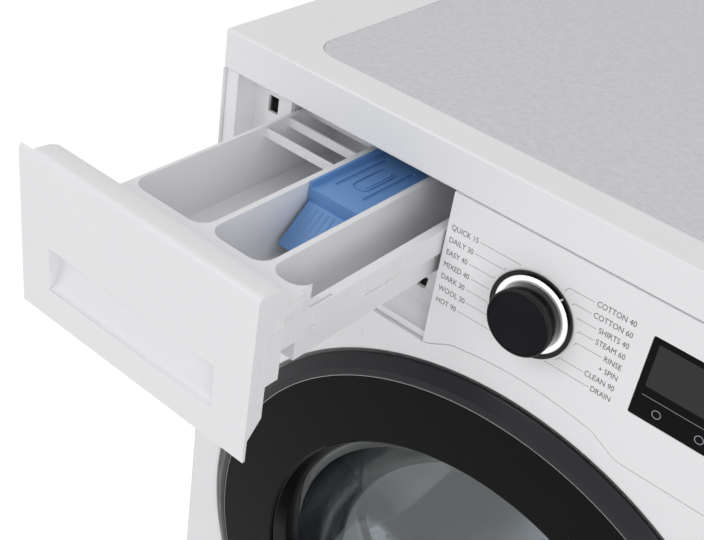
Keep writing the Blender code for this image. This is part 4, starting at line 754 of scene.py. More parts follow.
# ---- sub-assemblies ---------------------------------------------------------------------------
@dataclass
class Cabinet:
    """Housing: worktop, sheets, base and feet."""

    flange: float = 16 * MM             # depth of the front sheet's returned edge
    seam: float = 0.7 * MM              # gap around panels and the flap
    lip: float = 2.6 * MM               # rolled edge around the door's well
    well_floor: float = 10 * MM
    mouth: float = 210 * MM             # radius of the opening in the well's floor
    screw_inset: float = 24 * MM        # both edges together
    caps: tuple = ((-200, 250), (200, 250), (-230, 560), (230, 560))    # x and z in millimetres

    def build(self) -> None:
        """Build every cabinet piece."""
        self.worktop()
        self.front_sheet()
        self.sides()
        self.back()
        self.base()

    def worktop(self) -> None:
        """Moulded rim and the sunk woven board."""
        rim = soften(from_cad("worktop_frame"), 1.1 * MM)
        finish_piece(rim, "worktop_rim", "white", "cabinet", "worktop_frame")
        board = soften(from_cad("worktop_inlay"), 0.35 * MM)
        finish_piece(board, "worktop_board", "woven", "cabinet", "worktop_inlay")

    def front_sheet(self) -> None:
        """Front sheet, arched over the door, and the pressed well that seats the door."""
        low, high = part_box("front_panel")
        well_r = DOOR_R + 3 * MM
        lip = self.lip
        edge = [(x, Border.height(x) - self.seam) for x in Border.stations(low.x, high.x)]
        outline = [(low.x, low.z), (high.x, low.z)] + edge[::-1]
        hole = arc(DOOR.x, DOOR.z, well_r + lip, 0, 360 * (1 - 1 / FINE), FINE)
        flap_low, flap_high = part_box("service_flap")
        gap = self.seam
        flap = rounded(flap_low.x - gap, flap_low.z - gap, flap_high.x + gap, flap_high.z + gap, 6 * MM)
        sheet = plate([outline, hole, flap], FRONT, FRONT + 1.2 * MM)
        sheet = soften(sheet, 0.5 * MM, 50)
        ledge = carve(plate([[(low.x, low.z), (high.x, low.z)] + edge[::-1]], FRONT + 1.4 * MM,
                            FRONT + self.flange),
                      plate([[(low.x + MM, low.z + MM), (high.x - MM, low.z + MM)]
                             + [(max(low.x + MM, min(high.x - MM, x)), z - MM) for x, z in edge[::-1]]],
                            FRONT, FRONT + 2 * self.flange))
        finish_piece(merge([sheet, ledge]), "front_sheet", "enamel", "cabinet", "front_panel")
        floor, mouth = self.well_floor, self.mouth
        profile = [(well_r + lip, 0.05 * MM), (well_r + 1.2 * MM, 0.1 * MM),
                   (well_r + 0.35 * MM, 0.5 * MM), (well_r, 1.4 * MM), (well_r, floor),
                   (mouth + MM, floor), (mouth, floor + MM),
                   (mouth, floor + 8 * MM), (mouth + MM, floor + 8 * MM), (mouth + MM, floor + MM),
                   (well_r + MM, floor + MM), (well_r + MM, 1.6 * MM), (well_r + lip, 1.2 * MM)]
        well = spun(profile, (DOOR.x, FRONT, DOOR.z))
        lock_low, lock_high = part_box("door_lock")
        slot_low = (lock_low.x + 8 * MM, FRONT + 5 * MM, DOOR.z - 17 * MM)
        slot_high = (lock_high.x - 14 * MM, FRONT + 15 * MM, DOOR.z + 17 * MM)
        finish_piece(carve(well, block(slot_low, slot_high)), "door_well", "enamel", "cabinet")

    def sides(self) -> None:
        """Side sheets with a shallow pressed panel."""
        for side, node in ((-1, "left_side_panel"), (1, "right_side_panel")):
            low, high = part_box(node)
            face = low.x if side < 0 else high.x
            sheet = from_cad(node)
            inset, rise = 45 * MM, 0.9 * MM
            x0, x1 = sorted((face - side * 0.6 * MM, face + side * rise))
            outline = rounded(low.y + inset, low.z + inset, high.y - inset, high.z - inset, 30 * MM)
            raised = plate([outline], x0, x1, Plane.YZ)
            sheet = soften(grow(sheet, raised), 0.45 * MM, 40)
            finish_piece(sheet, node + "_sheet", "enamel", "cabinet", node)

    def back(self) -> None:
        """Back sheet with stiffening ribs, its cover, screws and transit caps."""
        low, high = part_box("back_panel")
        sheet = from_cad("back_panel")
        ribs = []
        for z in (low.z + 90 * MM, high.z - 130 * MM):
            outline = rounded(low.x + 120 * MM, z - 9 * MM, high.x - 160 * MM, z + 9 * MM, 8.9 * MM)
            ribs.append(plate([outline], high.y - 0.5 * MM, high.y + 1.6 * MM))
        sheet = soften(grow(sheet, *ribs), 0.4 * MM, 40)
        finish_piece(sheet, "back_sheet", "enamel", "cabinet", "back_panel")
        cover_low, cover_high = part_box("rear_cover")
        radius = (cover_high.x - cover_low.x) / 2
        front, rear = cover_low.y - FRONT, cover_high.y - FRONT
        profile = [(0, rear), (radius - 66 * MM, rear), (radius - 62 * MM, rear + 1.1 * MM),
                   (radius - 44 * MM, rear + 1.1 * MM), (radius - 40 * MM, rear), (radius, rear),
                   (radius, front), (0, front)]
        cover = spun(profile, (DOOR.x, FRONT, DOOR.z), segments=96)
        finish_piece(cover, "belt_cover", "enamel", "cabinet", "rear_cover")
        turn = Matrix.Rotation(-math.pi / 2, 4, "X")
        flat = 1000.0
        across, along = high.x - low.x - self.screw_inset, high.z - low.z - self.screw_inset
        middle = (low.z + high.z) / 2
        shift = Matrix.Translation((0, high.y, middle)) @ turn @ Matrix.Translation((0, 0, -flat))
        heads = ARRAY.spread(screw_head(), (2, 6), (across, along), flat, shift, "zinc")
        finish_piece(heads, "back_screws", "zinc", "cabinet")
        caps = []
        profile = [(0, 0), (17, 0), (17, 1.2), (11, 2.2), (9, 2.2), (8, 1.0), (0, 1.0)]
        for x, z in self.caps:
            caps.append(spun(profile, (0, 0, 0), axis="Z", segments=48))
            caps[-1].data.transform(Matrix.Translation((x * MM, high.y, z * MM)) @ turn
                                    @ Matrix.Scale(MM, 4))
        finish_piece(merge(caps), "transit_caps", "tub", "cabinet")

    def base(self) -> None:
        """Base tray and levelling feet."""
        tray = soften(from_cad("base_pan"), 0.5 * MM, 40)
        finish_piece(tray, "base_tray", "zinc", "cabinet", "base_pan")
        for number in range(1, 5):
            node = f"levelling_foot_{number}"
            low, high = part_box(node)
            x, y = (low.x + high.x) / 2, (low.y + high.y) / 2
            pad = [(0, 0), (17.5, 0), (20, 2.5), (20, 6.5), (17, 8.2), (12, 9.6), (8, 10.6), (5, 11)]
            threads = [(5 - 0.5 * (i % 2), 12 + i * 0.8) for i in range(37)]
            profile = [(r * MM, z * MM) for r, z in pad + threads] + [(0, high.z)]
            foot = spun(profile, (x, y, 0), axis="Z", segments=64)
            finish_piece(foot, f"foot_{number}", "rubber", f"foot_{number}", node, smooth=30)


class Border:
    """Lower edge of the control panel: straight, then an arch over the door."""

    rise = 17.2 * MM
    radius = 272 * MM
    half = 52 * MM
    shoulder = 32 * MM

    @classmethod
    def height(cls, x: float) -> float:
        """Height of the border at x."""
        crown = math.sqrt(cls.radius ** 2 - min(abs(x), cls.half) ** 2) - cls.radius
        share = min(max((abs(x) - cls.half) / cls.shoulder, 0.0), 1.0)
        return SILL + (cls.rise + crown) * (0.5 + 0.5 * math.cos(math.pi * share))

    @classmethod
    def stations(cls, low: float, high: float, count: int = 120) -> list:
        """Places along X from low to high, close together where the border bends."""
        bend = cls.half + cls.shoulder
        inner = [-bend + 2 * bend * i / count for i in range(count + 1)]
        return [low] + [x for x in inner if low < x < high] + [high]


@dataclass
class ControlPanel:
    """Fascia, printed programme ring, dial and display."""

    wall: float = 2.5 * MM
    word_pitch: float = 10.1 * MM
    word_size: float = 6.2 * MM
    mark_angle: float = 52              # pointer's angle above the dial's right side
    leader_end: float = 34.5 * MM       # leader lines stop at this radius
    key_count: int = 6
    left_words: tuple = ("QUICK 15", "DAILY 30", "EASY 40", "MIXED 40", "DARK 30", "WOOL 30", "HOT 90")
    right_words: tuple = ("COTTON 40", "COTTON 60", "SHIRTS 40", "STEAM 60", "RINSE", "+ SPIN",
                          "CLEAN 90", "DRAIN")

    def build(self) -> None:
        """Build the fascia with everything on it."""
        self.fascia()
        self.dial()
        self.programme_print()
        self.display()
        self.recess()

    def fascia(self) -> None:
        """White shell with the arched lower edge, softly rounded all round."""
        low, high = PANEL_LOW, PANEL_HIGH
        edge = [(x, Border.height(x)) for x in Border.stations(low.x, high.x)]
        outline = edge + [(high.x, high.z), (low.x, high.z)]
        pane_low, pane_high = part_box("display_window")
        gap = 0.3 * MM
        hole = rounded(pane_low.x - gap, pane_low.z - gap, pane_high.x + gap, pane_high.z + gap,
                       1.5 * MM)
        shaft = arc(DIAL.x, DIAL.z, 4.5 * MM, 0, 345, 24)
        face = plate([outline, hole, shaft], low.y, low.y + self.wall)
        face = soften(face, 0.6 * MM, 50)
        inner = [(min(max(x, low.x + self.wall), high.x - self.wall), z + self.wall) for x, z in edge]
        inner += [(high.x - self.wall, high.z - self.wall), (low.x + self.wall, high.z - self.wall)]
        skirt = carve(plate([outline], low.y + self.wall + 0.1 * MM, high.y),
                      plate([inner], low.y, high.y + 5 * MM))
        finish_piece(merge([face, skirt]), "fascia", "white", "cabinet", "control_panel")

    def dial(self) -> None:
        """Spun knob, glossy collar with a pointer mark, and the light guide between them."""
        proud = FRONT - KNOB_LOW.y
        radius = KNOB_R
        shaft = 3.4 * MM
        body = [(0, -proud + 2.2 * MM), (radius - 1.6 * MM, -proud + 2.2 * MM),
                (radius - 1.6 * MM, -proud + 0.2 * MM), (radius - 0.4 * MM, -proud + 0.2 * MM),
                (radius, -proud + 0.9 * MM), (radius - 0.5 * MM, -2.4 * MM),
                (radius - 1.6 * MM, -1.2 * MM), (shaft, -1.2 * MM), (shaft, 7.8 * MM), (0, 7.8 * MM)]
        side = spun(body, (DIAL.x, FRONT, DIAL.z), corner=0.25 * MM)
        finish_piece(side, "knob_body", "black", "dial", "dial_knob", smooth=30)
        disc = [(0, -proud + 0.9 * MM), (radius - 3.2 * MM, -proud + 0.45 * MM),
                (radius - 1.9 * MM, -proud + 0.5 * MM),
                (radius - 1.75 * MM, -proud + 1.0 * MM), (radius - 1.75 * MM, -proud + 2.4 * MM),
                (0, -proud + 2.4 * MM)]
        finish_piece(spun(disc, (DIAL.x, FRONT, DIAL.z), corner=0.2 * MM), "knob_face", "spun", "dial",
                     smooth=30)
        for node, finish in (("dial_light_ring", "lit"), ("dial_ring", "black")):
            low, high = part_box(node)
            outer = (high.x - low.x) / 2
            inner = radius + 0.3 * MM if node == "dial_light_ring" else 28.5 * MM
            front, rear = low.y - FRONT, high.y - FRONT
            profile = [(inner, front), (outer, front), (outer, rear), (inner, rear)]
            ring = spun(profile, (DIAL.x, FRONT, DIAL.z), corner=0.6 * MM)
            finish_piece(ring, node + "_piece", finish, "dial", node, smooth=30)
        tilt = math.radians(self.mark_angle)
        mark = plate([rounded(-0.55 * MM, 28.9 * MM, 0.55 * MM, 31.5 * MM, 0.3 * MM, 3)],
                     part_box("dial_ring")[0].y - 0.08 * MM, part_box("dial_ring")[0].y + 0.3 * MM)
        mark.data.transform(Matrix.Translation((DIAL.x, 0, DIAL.z))
                            @ Matrix.Rotation(math.pi / 2 - tilt, 4, "Y"))
        finish_piece(mark, "pointer_mark", "white_ink", "dial")

    def words(self, text: str, size: float, x: float, z: float, align: str,
              plane_y: float = FRONT) -> bpy.types.Object:
        """Printed generic words as a very thin raised shape."""
        curve = bpy.data.curves.new("print", "FONT")
        curve.body = text
        curve.size = size
        curve.align_x = align
        curve.align_y = "CENTER"
        curve.extrude = 0.03 * MM
        curve.resolution_u = 3
        obj = bpy.data.objects.new("print", curve)
        COLLECTION.objects.link(obj)
        condensed = Matrix.Diagonal((0.82, 1, 1, 1))
        obj.matrix_world = (Matrix.Translation((x, plane_y - 0.02 * MM, z))
                            @ Matrix.Rotation(math.pi / 2, 4, "X") @ condensed)
        return settle(obj)

    def stroke(self, start: tuple, end: tuple, width: float = 0.28 * MM) -> bpy.types.Object:
        """A thin printed line between two points of the panel."""
        a, b = Vector(start), Vector(end)
        side = (b - a).normalized().orthogonal() * width / 2
        loop = [tuple(a + side), tuple(a - side), tuple(b - side), tuple(b + side)]
        return plate([loop], FRONT - 0.05 * MM, FRONT + 0.05 * MM)

    def programme_print(self) -> None:
        """Programme words either side of the dial, with leader lines that fan towards it."""
        printed = []
        pitch, size = self.word_pitch, self.word_size
        left_x = PANEL_LOW.x + 3.3 * MM
        for row, word in enumerate(self.left_words):
            z = DIAL.z + (3.05 - row) * pitch
            text = self.words(word, size, left_x, z, "LEFT")
            printed.append(text)
            tail = max(v.co.x for v in text.data.vertices) + 1.6 * MM
            printed += self.leader(tail, z, 180 - (3 - row) * 20.5)
        right_x = DIAL.x + 69.5 * MM
        for row, word in enumerate(self.right_words):
            z = DIAL.z + (3.3 - row * 0.875) * pitch
            text = self.words(word, size, right_x, z, "RIGHT")
            printed.append(text)
            tail = min(v.co.x for v in text.data.vertices) - 1.6 * MM
            if word != "+ SPIN":
                printed += self.leader(tail, z, (3.1 - row * 0.88) * 19)
        finish_piece(merge(printed), "programme_print", "ink", "cabinet")

    def leader(self, x: float, z: float, degrees: float) -> list:
        """Line from a word to the dial's edge: level first, then towards the dial's centre."""
        angle = math.radians(degrees)
        end = Vector((DIAL.x + self.leader_end * math.cos(angle),
                      DIAL.z + self.leader_end * math.sin(angle)))
        out = 1 if x > DIAL.x else -1
        if (x - end.x) * out < 1.5 * MM:
            return [self.stroke((x, z), tuple(end))] if (x - end.x) * out > 0 else []
        knee = Vector((end.x + out * abs(z - end.y) * 0.6, z))
        if (x - knee.x) * out < 0.5 * MM:
            return [self.stroke((x, z), tuple(end))]
        return [self.stroke((x, z), tuple(knee)), self.stroke(tuple(knee), tuple(end))]

    def display(self) -> None:
        """Gloss pane with a smoked screen, dim generic digits and a row of touch keys."""
        low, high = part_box("display_window")
        pane = soften(from_cad("display_window"), 0.35 * MM)
        finish_piece(pane, "display_pane", "ink_glass", "cabinet", "display_window")
        face = low.y
        inset = 5 * MM
        outline = rounded(low.x + inset, low.z + 25 * MM, high.x - inset, high.z - 4 * MM, 1 * MM)
        screen = plate([outline], face - 0.06 * MM, face + 0.2 * MM)
        finish_piece(screen, "display_screen", "screen", "cabinet")
        printed = [self.words("0:45", 21 * MM, low.x + 24 * MM, high.z - 20 * MM, "LEFT", face),
                   self.words("40", 10 * MM, low.x + 92 * MM, high.z - 20 * MM, "LEFT", face),
                   self.words("1200", 10 * MM, low.x + 128 * MM, high.z - 20 * MM, "LEFT", face)]
        rail = low.z + 18 * MM
        line = [(low.x + inset, rail), (high.x - inset, rail), (high.x - inset, rail + 0.3 * MM),
                (low.x + inset, rail + 0.3 * MM)]
        printed.append(plate([line], face - 0.08 * MM, face + 0.1 * MM))
        for number in range(self.key_count):
            x = low.x + (18 + 30 * number) * MM
            printed.append(plate([arc(x, low.z + 9 * MM, 3.2 * MM, 0, 345, 24),
                                  arc(x, low.z + 9 * MM, 2.7 * MM, 0, 345, 24)],
                                 face - 0.08 * MM, face + 0.1 * MM))
        finish_piece(merge(printed), "display_print", "screen_print", "cabinet")
        finish_piece(from_cad("control_board"), "circuit_board", "board", "cabinet", "control_board")

    def recess(self) -> None:
        """Drawer opening with ribs, catches and the dispenser behind it."""
        low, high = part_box("drawer_surround")
        shape = from_cad("drawer_surround")
        rail = [block((x, low.y + 34 * MM, low.z + 40 * MM),
                      (x + 1.4 * MM, high.y - 0.5 * MM, low.z + 52 * MM))
                for x in (TRAY_LOW.x - 2 * MM, (TRAY_LOW.x + TRAY_HIGH.x) / 2, TRAY_HIGH.x - 20 * MM)]
        shape = soften(grow(shape, *rail), 0.5 * MM, 38)
        finish_piece(shape, "drawer_recess", "white", "cabinet", "drawer_surround")
        housing = soften(from_cad("dispenser_housing"), 0.6 * MM, 40)
        finish_piece(housing, "dispenser_box", "tray", "cabinet", "dispenser_housing")
        cover = soften(from_cad("dispenser_cover"), 0.4 * MM)
        # the lid's mid grey is painted shade for the dim back of the drawer recess
        finish_piece(cover, "dispenser_lid", "recess_painted_shade", "cabinet", "dispenser_cover")


@dataclass
class Drawer:
    """Detergent drawer: front, tray and softener insert."""

    def build(self) -> None:
        """Build the three drawer pieces."""
        self.front()
        self.tray()
        self.insert()

    def front(self) -> None:
        """Drawer front with its side step line, clip windows and handle pocket."""
        low, high = DRAWER_LOW, DRAWER_HIGH
        shape = from_cad("drawer_front")
        side = high.x
        groove = block((side - 0.35 * MM, low.y + 9 * MM, low.z + 57 * MM),
                       (side + 2 * MM, low.y + 9.6 * MM, high.z - 6 * MM))
        clip = block((side - 1.6 * MM, low.y + 15 * MM, high.z - 34 * MM),
                     (side + 2 * MM, low.y + 21 * MM, high.z - 24 * MM))
        lower = block((side - 1.6 * MM, low.y + 7 * MM, low.z + 42 * MM),
                      (side + 2 * MM, low.y + 11 * MM, low.z + 49 * MM))
        shape = soften(carve(shape, groove, clip, lower), 0.55 * MM, 34)
        finish_piece(shape, "drawer_face", "white", "drawer", "drawer_front")

    def tray(self) -> None:
        """Tray with rail windows, a clip slot, ribs and a fill mark."""
        low, high = TRAY_LOW, TRAY_HIGH
        shape = from_cad("drawer_tray")
        side, rail = high.x, high.z - 11 * MM
        cutters = [block((side - 3 * MM, low.y + 26 * MM, rail - 1.6 * MM),
                         (side - 1 * MM, low.y + 46 * MM, rail + MM)),
                   block((side - 2 * MM, low.y + 24 * MM, rail - 17 * MM),
                         (side + MM, low.y + 32 * MM, rail - 5 * MM)),
                   block((side - 1.2 * MM, low.y + 60 * MM, rail - 17 * MM),
                         (side + MM, low.y + 120 * MM, rail - 4 * MM))]
        ribs = [block((side - 1.6 * MM, low.y + d * MM, rail - 19.5 * MM),
                      (side - 0.3 * MM, low.y + (d + 1.4) * MM, rail - 1 * MM)) for d in (78, 98)]
        shape = carve(shape, *cutters)
        shape = grow(shape, *ribs)
        cross = []
        for d in (150, 176, 202):
            cross.append(block((low.x + 2 * MM, low.y + d * MM, high.z - 9 * MM),
                               (low.x + 71 * MM, low.y + (d + 2) * MM, high.z - 2 * MM)))
        shape = grow(shape, *cross)
        shape = soften(shape, 0.7 * MM, 34)
        finish_piece(shape, "drawer_tray_piece", "tray", "drawer", "drawer_tray")

    def insert(self) -> None:
        """Siphon cap with two hooked slots, an oval pad and a ribbed tongue."""
        low, high = INSERT_LOW, INSERT_HIGH
        shape = from_cad("softener_insert")
        top = high.z - 4.6 * MM
        lid_front = low.y + 30 * MM
        cutters = []
        for x, start, end in ((low.x + 10 * MM, 17, 74), (high.x - 12 * MM, 17, 74)):
            loop = rounded(x - 1.7 * MM, lid_front + start * MM, x + 1.7 * MM, lid_front + end * MM,
                           1.6 * MM, 5)
            cutters.append(plate([loop], top - 1.3 * MM, top + 2 * MM, Plane.XY))
        middle = (low.x + high.x) / 2 - 0.5 * MM
        groove = [rounded(middle - half * MM, lid_front + start * MM, middle + half * MM,
                          lid_front + end * MM, corner * MM)
                  for half, start, end, corner in ((7, 24, 64, 6.5), (5.6, 25.4, 62.6, 5.2))]
        cutters.append(plate(groove, top - 1.0 * MM, top + 2 * MM, Plane.XY))
        shape = carve(shape, *cutters)
        oval = rounded(middle - 4 * MM, lid_front + 28 * MM, middle + 4 * MM, lid_front + 60 * MM,
                       3.8 * MM)
        pad = plate([oval], top - 0.5 * MM, top + 0.9 * MM, Plane.XY)
        bars = []
        for number in range(7):
            x = low.x + (8 + 5 * number) * MM
            bars.append(rod((x, low.y + 3.5 * MM, top - 31.0 * MM),
                            (x, low.y + 26 * MM, top - 10.6 * MM), 0.7 * MM, 10))
        shape = grow(shape, pad, *bars)
        finish_piece(soften(shape, 0.4 * MM, 34), "siphon_cap", "blue", "insert", "softener_insert")


@dataclass
class Door:
    """Round door on its hinge: ring, glass, bowl, frame and hook."""

    face: float = 8 * MM                # how far the glass stands in front of the panel
    window: float = 190 * MM            # radius of the clear part
    facets: int = 256

    def build(self) -> None:
        """Build the door, its hinge and its lock."""
        centre = (DOOR.x, FRONT, DOOR.z)
        seat = -self.face + 2.6 * MM
        outer = [(DOOR_R, 1.9 * MM), (DOOR_R, -0.5 * MM), (DOOR_R - 1.0 * MM, -1.4 * MM),
                 (DOOR_R - 10 * MM, -self.face + 0.8 * MM),
                 (GLASS_R + 1.6 * MM, -self.face - 0.25 * MM),
                 (GLASS_R + 0.3 * MM, -self.face), (GLASS_R + 0.3 * MM, seat), (193 * MM, seat),
                 (193 * MM, 7.4 * MM), (256 * MM, 7.4 * MM), (259.5 * MM, 1.9 * MM)]
        ring = spun(outer, centre, segments=self.facets, corner=0.35 * MM)
        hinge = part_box("door_hinge_leaf")
        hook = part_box("door_hook")
        knuckle, axis_y = hinge[0].x + 3.5 * MM, FRONT + MM
        foot, head = DOOR.z - 41 * MM, DOOR.z + 41 * MM
        barrel, behind = 4 * MM, FRONT + 20 * MM
        tools = [rod((knuckle, axis_y, foot), (knuckle, axis_y, head), barrel),
                 block((knuckle - barrel, axis_y, foot), (knuckle + barrel, behind, head)),
                 block((knuckle, FRONT - 3.4 * MM, foot), (knuckle + 37 * MM, behind, head)),
                 block((hook[0].x - 8 * MM, FRONT - 3.4 * MM, DOOR.z - 16 * MM),
                       (hook[0].x + 14 * MM, FRONT + 20 * MM, DOOR.z + 16 * MM))]
        finish_piece(carve(ring, *tools), "door_rim", "bevel", "door", "door_ring", smooth=30)
        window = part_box("door_glass")
        rear, inner = window[1].y - FRONT, self.window
        glass = [(GLASS_R - 0.2 * MM, rear), (GLASS_R - 0.2 * MM, -self.face + 0.5 * MM),
                 (GLASS_R - MM, -self.face),
                 (inner + 1.5 * MM, -self.face), (inner, -self.face + 1.2 * MM), (inner, rear)]
        pane = spun(glass, centre, segments=self.facets, corner=0.3 * MM)
        finish_piece(pane, "door_fascia_glass", "ink_glass", "door", "door_glass", smooth=30)
        # painted highlight: a thin satin silver ring whose light colour stands for the bright edge
        # between rim and glass
        line = [(GLASS_R + 0.25 * MM, seat + 0.4 * MM), (GLASS_R + 0.25 * MM, -self.face - 0.12 * MM),
                (GLASS_R - 0.15 * MM, -self.face - 0.12 * MM), (GLASS_R - 0.15 * MM, seat + 0.4 * MM)]
        line = spun(line, centre, segments=self.facets)
        finish_piece(line, "door_bright_line", "silver", "door", smooth=30)
        frame_low, frame_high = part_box("door_inner_ring")
        flange = (frame_high.x - frame_low.x) / 2
        lap = 8.2 * MM
        funnel = [(192.6 * MM, seat + 0.6 * MM), (192.6 * MM, lap), (flange, lap), (flange, 17 * MM),
                  (flange - 3 * MM, 17 * MM), (flange - 3 * MM, 12 * MM), (182 * MM, 12 * MM),
                  (184 * MM, 6 * MM), (189.5 * MM, seat + 0.6 * MM)]
        funnel = spun(funnel, centre, segments=self.facets, corner=0.5 * MM)
        finish_piece(funnel, "door_frame_ring", "black", "door", "door_inner_ring", smooth=30)
        self.bowl(centre, flange)
        for node, name, finish, body in (("door_hinge_bracket", "hinge_strap", "zinc", "cabinet"),
                                         ("door_hinge_leaf", "hinge_arm", "zinc", "door"),
                                         ("door_hook", "latch_hook", "zinc", "hook"),
                                         ("door_lock", "lock_case", "black", "cabinet")):
            finish_piece(soften(from_cad(node), 0.25 * MM), name, finish, body, node)

    def bowl(self, centre: tuple, flange: float) -> None:
        """Pressed glass bowl with smooth curved walls."""
        front, wall = 12.3 * MM, 4 * MM
        rim, rear = 181 * MM, 106 * MM
        steps, flare, swell = 22, 0.42, 1.05
        outer, inner = [], []
        for i in range(steps + 1):
            t = i / steps * math.pi / 2
            across, along = math.cos(t) ** flare, math.sin(t) ** swell
            outer.append(((rim - 2 * MM) * across, front + wall + (rear - front - wall) * along))
            inner.append(((rim - 6 * MM) * across, front + (rear - wall - front) * along))
        outer[-1], inner[-1] = (0, rear), (0, rear - wall)
        profile = [(flange - 3.6 * MM, front), (flange - 3.6 * MM, front + wall)] + outer + inner[::-1]
        finish_piece(spun(profile, centre), "glass_bowl", "glass", "door", "door_bowl", smooth=60)


@dataclass
class WashGroup:
    """Drum, tub, gasket, drive and everything hung inside."""

    sheet: float = 1.6 * MM             # drum's wall in the looks
    drum_mouth: float = 192 * MM
    columns: int = 84                   # dimples around the drum
    rows: int = 14                      # dimples along it

    def build(self) -> None:
        """Build the drum in detail and the hidden pieces with their own finishes."""
        self.drum()
        self.gasket()
        for node, finish, width in (("tub_front", "tub", 0.8), ("tub_rear", "tub", 0.8),
                                    ("motor", "cast", 0.8),
                                    ("drum_spider", "cast", 0.8), ("drum_pulley", "cast", 0.5),
                                    ("motor_pulley", "zinc", 0.4), ("drive_belt", "rubber", 0.4),
                                    ("counterweight_upper", "concrete", 2.0),
                                    ("counterweight_lower", "concrete", 2.0),
                                    ("tub_damper_left", "zinc", 0.5), ("tub_damper_right", "zinc", 0.5),
                                    ("bearing_front", "zinc", 0.5), ("bearing_rear", "zinc", 0.5),
                                    ("dispenser_hose", "rubber", 0.3), ("inlet_valve", "tub", 0.5),
                                    ("drain_outlet", "black", 0.3), ("mains_gland", "black", 0.3),
                                    ("drain_pump", "tub", 0.6), ("filter_cap", "tub", 0.8),
                                    ("service_flap", "white", 0.4)):
            body = BODY_OF[node]
            finish_piece(soften(from_cad(node), width * MM, 36, 2), node + "_piece", finish, body, node)
        self.springs()
        self.heater()

    def drum(self) -> None:
        """Stainless drum with a rolled lip, pressed dimples and drain holes drawn as black discs of
        painted shade.
        """
        low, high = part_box("drum")
        radius = (high.x - low.x) / 2 - 0.3 * MM
        d0, d1 = low.y - FRONT, high.y - FRONT
        mouth, t = self.drum_mouth, self.sheet
        outer = [(mouth, d0), (mouth + 6 * MM, d0), (radius - 14 * MM, d0 + 2 * MM),
                 (radius - 3 * MM, d0 + 9 * MM), (radius, d0 + 20 * MM), (radius, d1 - 12 * MM),
                 (radius - 10 * MM, d1), (150 * MM, d1), (140 * MM, d1 - 5 * MM),
                 (60 * MM, d1 - 5 * MM),
                 (50 * MM, d1), (0, d1)]
        inner = [(0, d1 - t), (51 * MM, d1 - t), (61 * MM, d1 - 5 * MM - t),
                 (139 * MM, d1 - 5 * MM - t),
                 (149 * MM, d1 - t), (radius - 11 * MM, d1 - t), (radius - t, d1 - 13 * MM),
                 (radius - t, d0 + 21 * MM), (radius - 5 * MM, d0 + 11 * MM),
                 (radius - 15 * MM, d0 + 4 * MM),
                 (mouth + 6 * MM, d0 + 3 * t), (mouth, d0 + 2 * t)]
        shell = spun(outer + inner, (DOOR.x, FRONT, DOOR.z), corner=1.2 * MM)
        finish_piece(shell, "drum_shell", "stainless", "drum", "drum", smooth=50)
        around = 2 * math.pi * (radius - t)
        cup = [(0, -0.9 * MM), (1.2 * MM, -0.8 * MM), (3.2 * MM, -0.1 * MM), (3.4 * MM, 0.4 * MM),
               (0, 0.4 * MM)]
        dimple = spun(cup, (0, 0, 0), axis="Z", segments=12)
        columns, rows = self.columns, self.rows
        span = d1 - d0 - 60 * MM
        middle = Matrix.Translation((DOOR.x, FRONT + (d0 + d1) / 2 + 6 * MM, DOOR.z))
        pitch = around * (columns - 1) / columns
        dots = ARRAY.spread(dimple, (columns, rows), (pitch, span), radius - t, middle, "stainless")
        finish_piece(dots, "drum_dimples", "stainless", "drum")
        # painted shade: the drain holes are flat black discs standing for the dark space seen through
        # real holes
        plug = [(0, -0.25 * MM), (1.7 * MM, -0.25 * MM), (1.9 * MM, 0.3 * MM), (0, 0.3 * MM)]
        hole = spun(plug, (0, 0, 0), axis="Z", segments=10)
        half_step = Matrix.Rotation(math.pi / columns, 4, "Y")
        shorter = span * (rows - 2) / (rows - 1)
        holes = ARRAY.spread(hole, (columns, rows - 1), (pitch, shorter), radius - t,
                             middle @ half_step, "rubber")
        finish_piece(holes, "drum_drain_holes", "rubber", "drum")
        for number in range(1, 4):
            self.paddle(number)

    def paddle(self, number: int) -> None:
        """Rounded lifter rib along the drum."""
        node = f"drum_paddle_{number}"
        shape = soften(from_cad(node), 5 * MM, 20, 5)
        finish_piece(shape, node + "_piece", "tub", "drum", node, smooth=60)

    def gasket(self) -> None:
        """Folded rubber bellows."""
        low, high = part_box("door_gasket")
        lip = (high.x - low.x) / 2
        d0, d1 = low.y - FRONT, high.y - FRONT
        folds = 2.5
        steps = 40
        outer = []
        for i in range(steps + 1):
            t = i / steps
            dip = 15 * MM * math.sin(math.pi * folds * t) ** 2
            outer.append((lip - 1.5 * MM - dip - 3 * MM * t, d0 + (d1 - d0) * t))
        inner = [(r - 2.4 * MM, d) for r, d in outer[::-1]]
        shape = spun(outer + inner, (DOOR.x, FRONT, DOOR.z), segments=128)
        finish_piece(shape, "bellows", "grey_rubber", "cabinet", "door_gasket", smooth=60)

    def springs(self) -> None:
        """Tension springs."""
        for side in ("left", "right"):
            node = "tub_spring_" + side
            low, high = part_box(node)
            centre = (low + high) / 2
            turns, per_turn, wire = 14, 16, 1.4 * MM
            radius = (high.x - low.x) / 2 - wire
            count = turns * per_turn
            points = [(centre.x + radius * math.cos(2 * math.pi * i / per_turn),
                       centre.y + radius * math.sin(2 * math.pi * i / per_turn),
                       low.z + wire + (high.z - low.z - 2 * wire) * i / count)
                      for i in range(count + 1)]
            finish_piece(tube(points, wire), node + "_coil", "zinc", "cabinet", node, smooth=60)

    def heater(self) -> None:
        """Hairpin heating element."""
        low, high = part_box("heater")
        wire = (high.z - low.z) / 2
        z, half = (low.z + high.z) / 2, (high.x - low.x) / 2 - wire
        bend = arc(0, low.y + wire + half, half, 0, -180, 25)
        route = [(half, high.y, z)] + [(x, y, z) for x, y in bend] + [(-half, high.y, z)]
        finish_piece(tube(route, wire), "heating_element", "zinc", "cabinet", "heater", smooth=60)


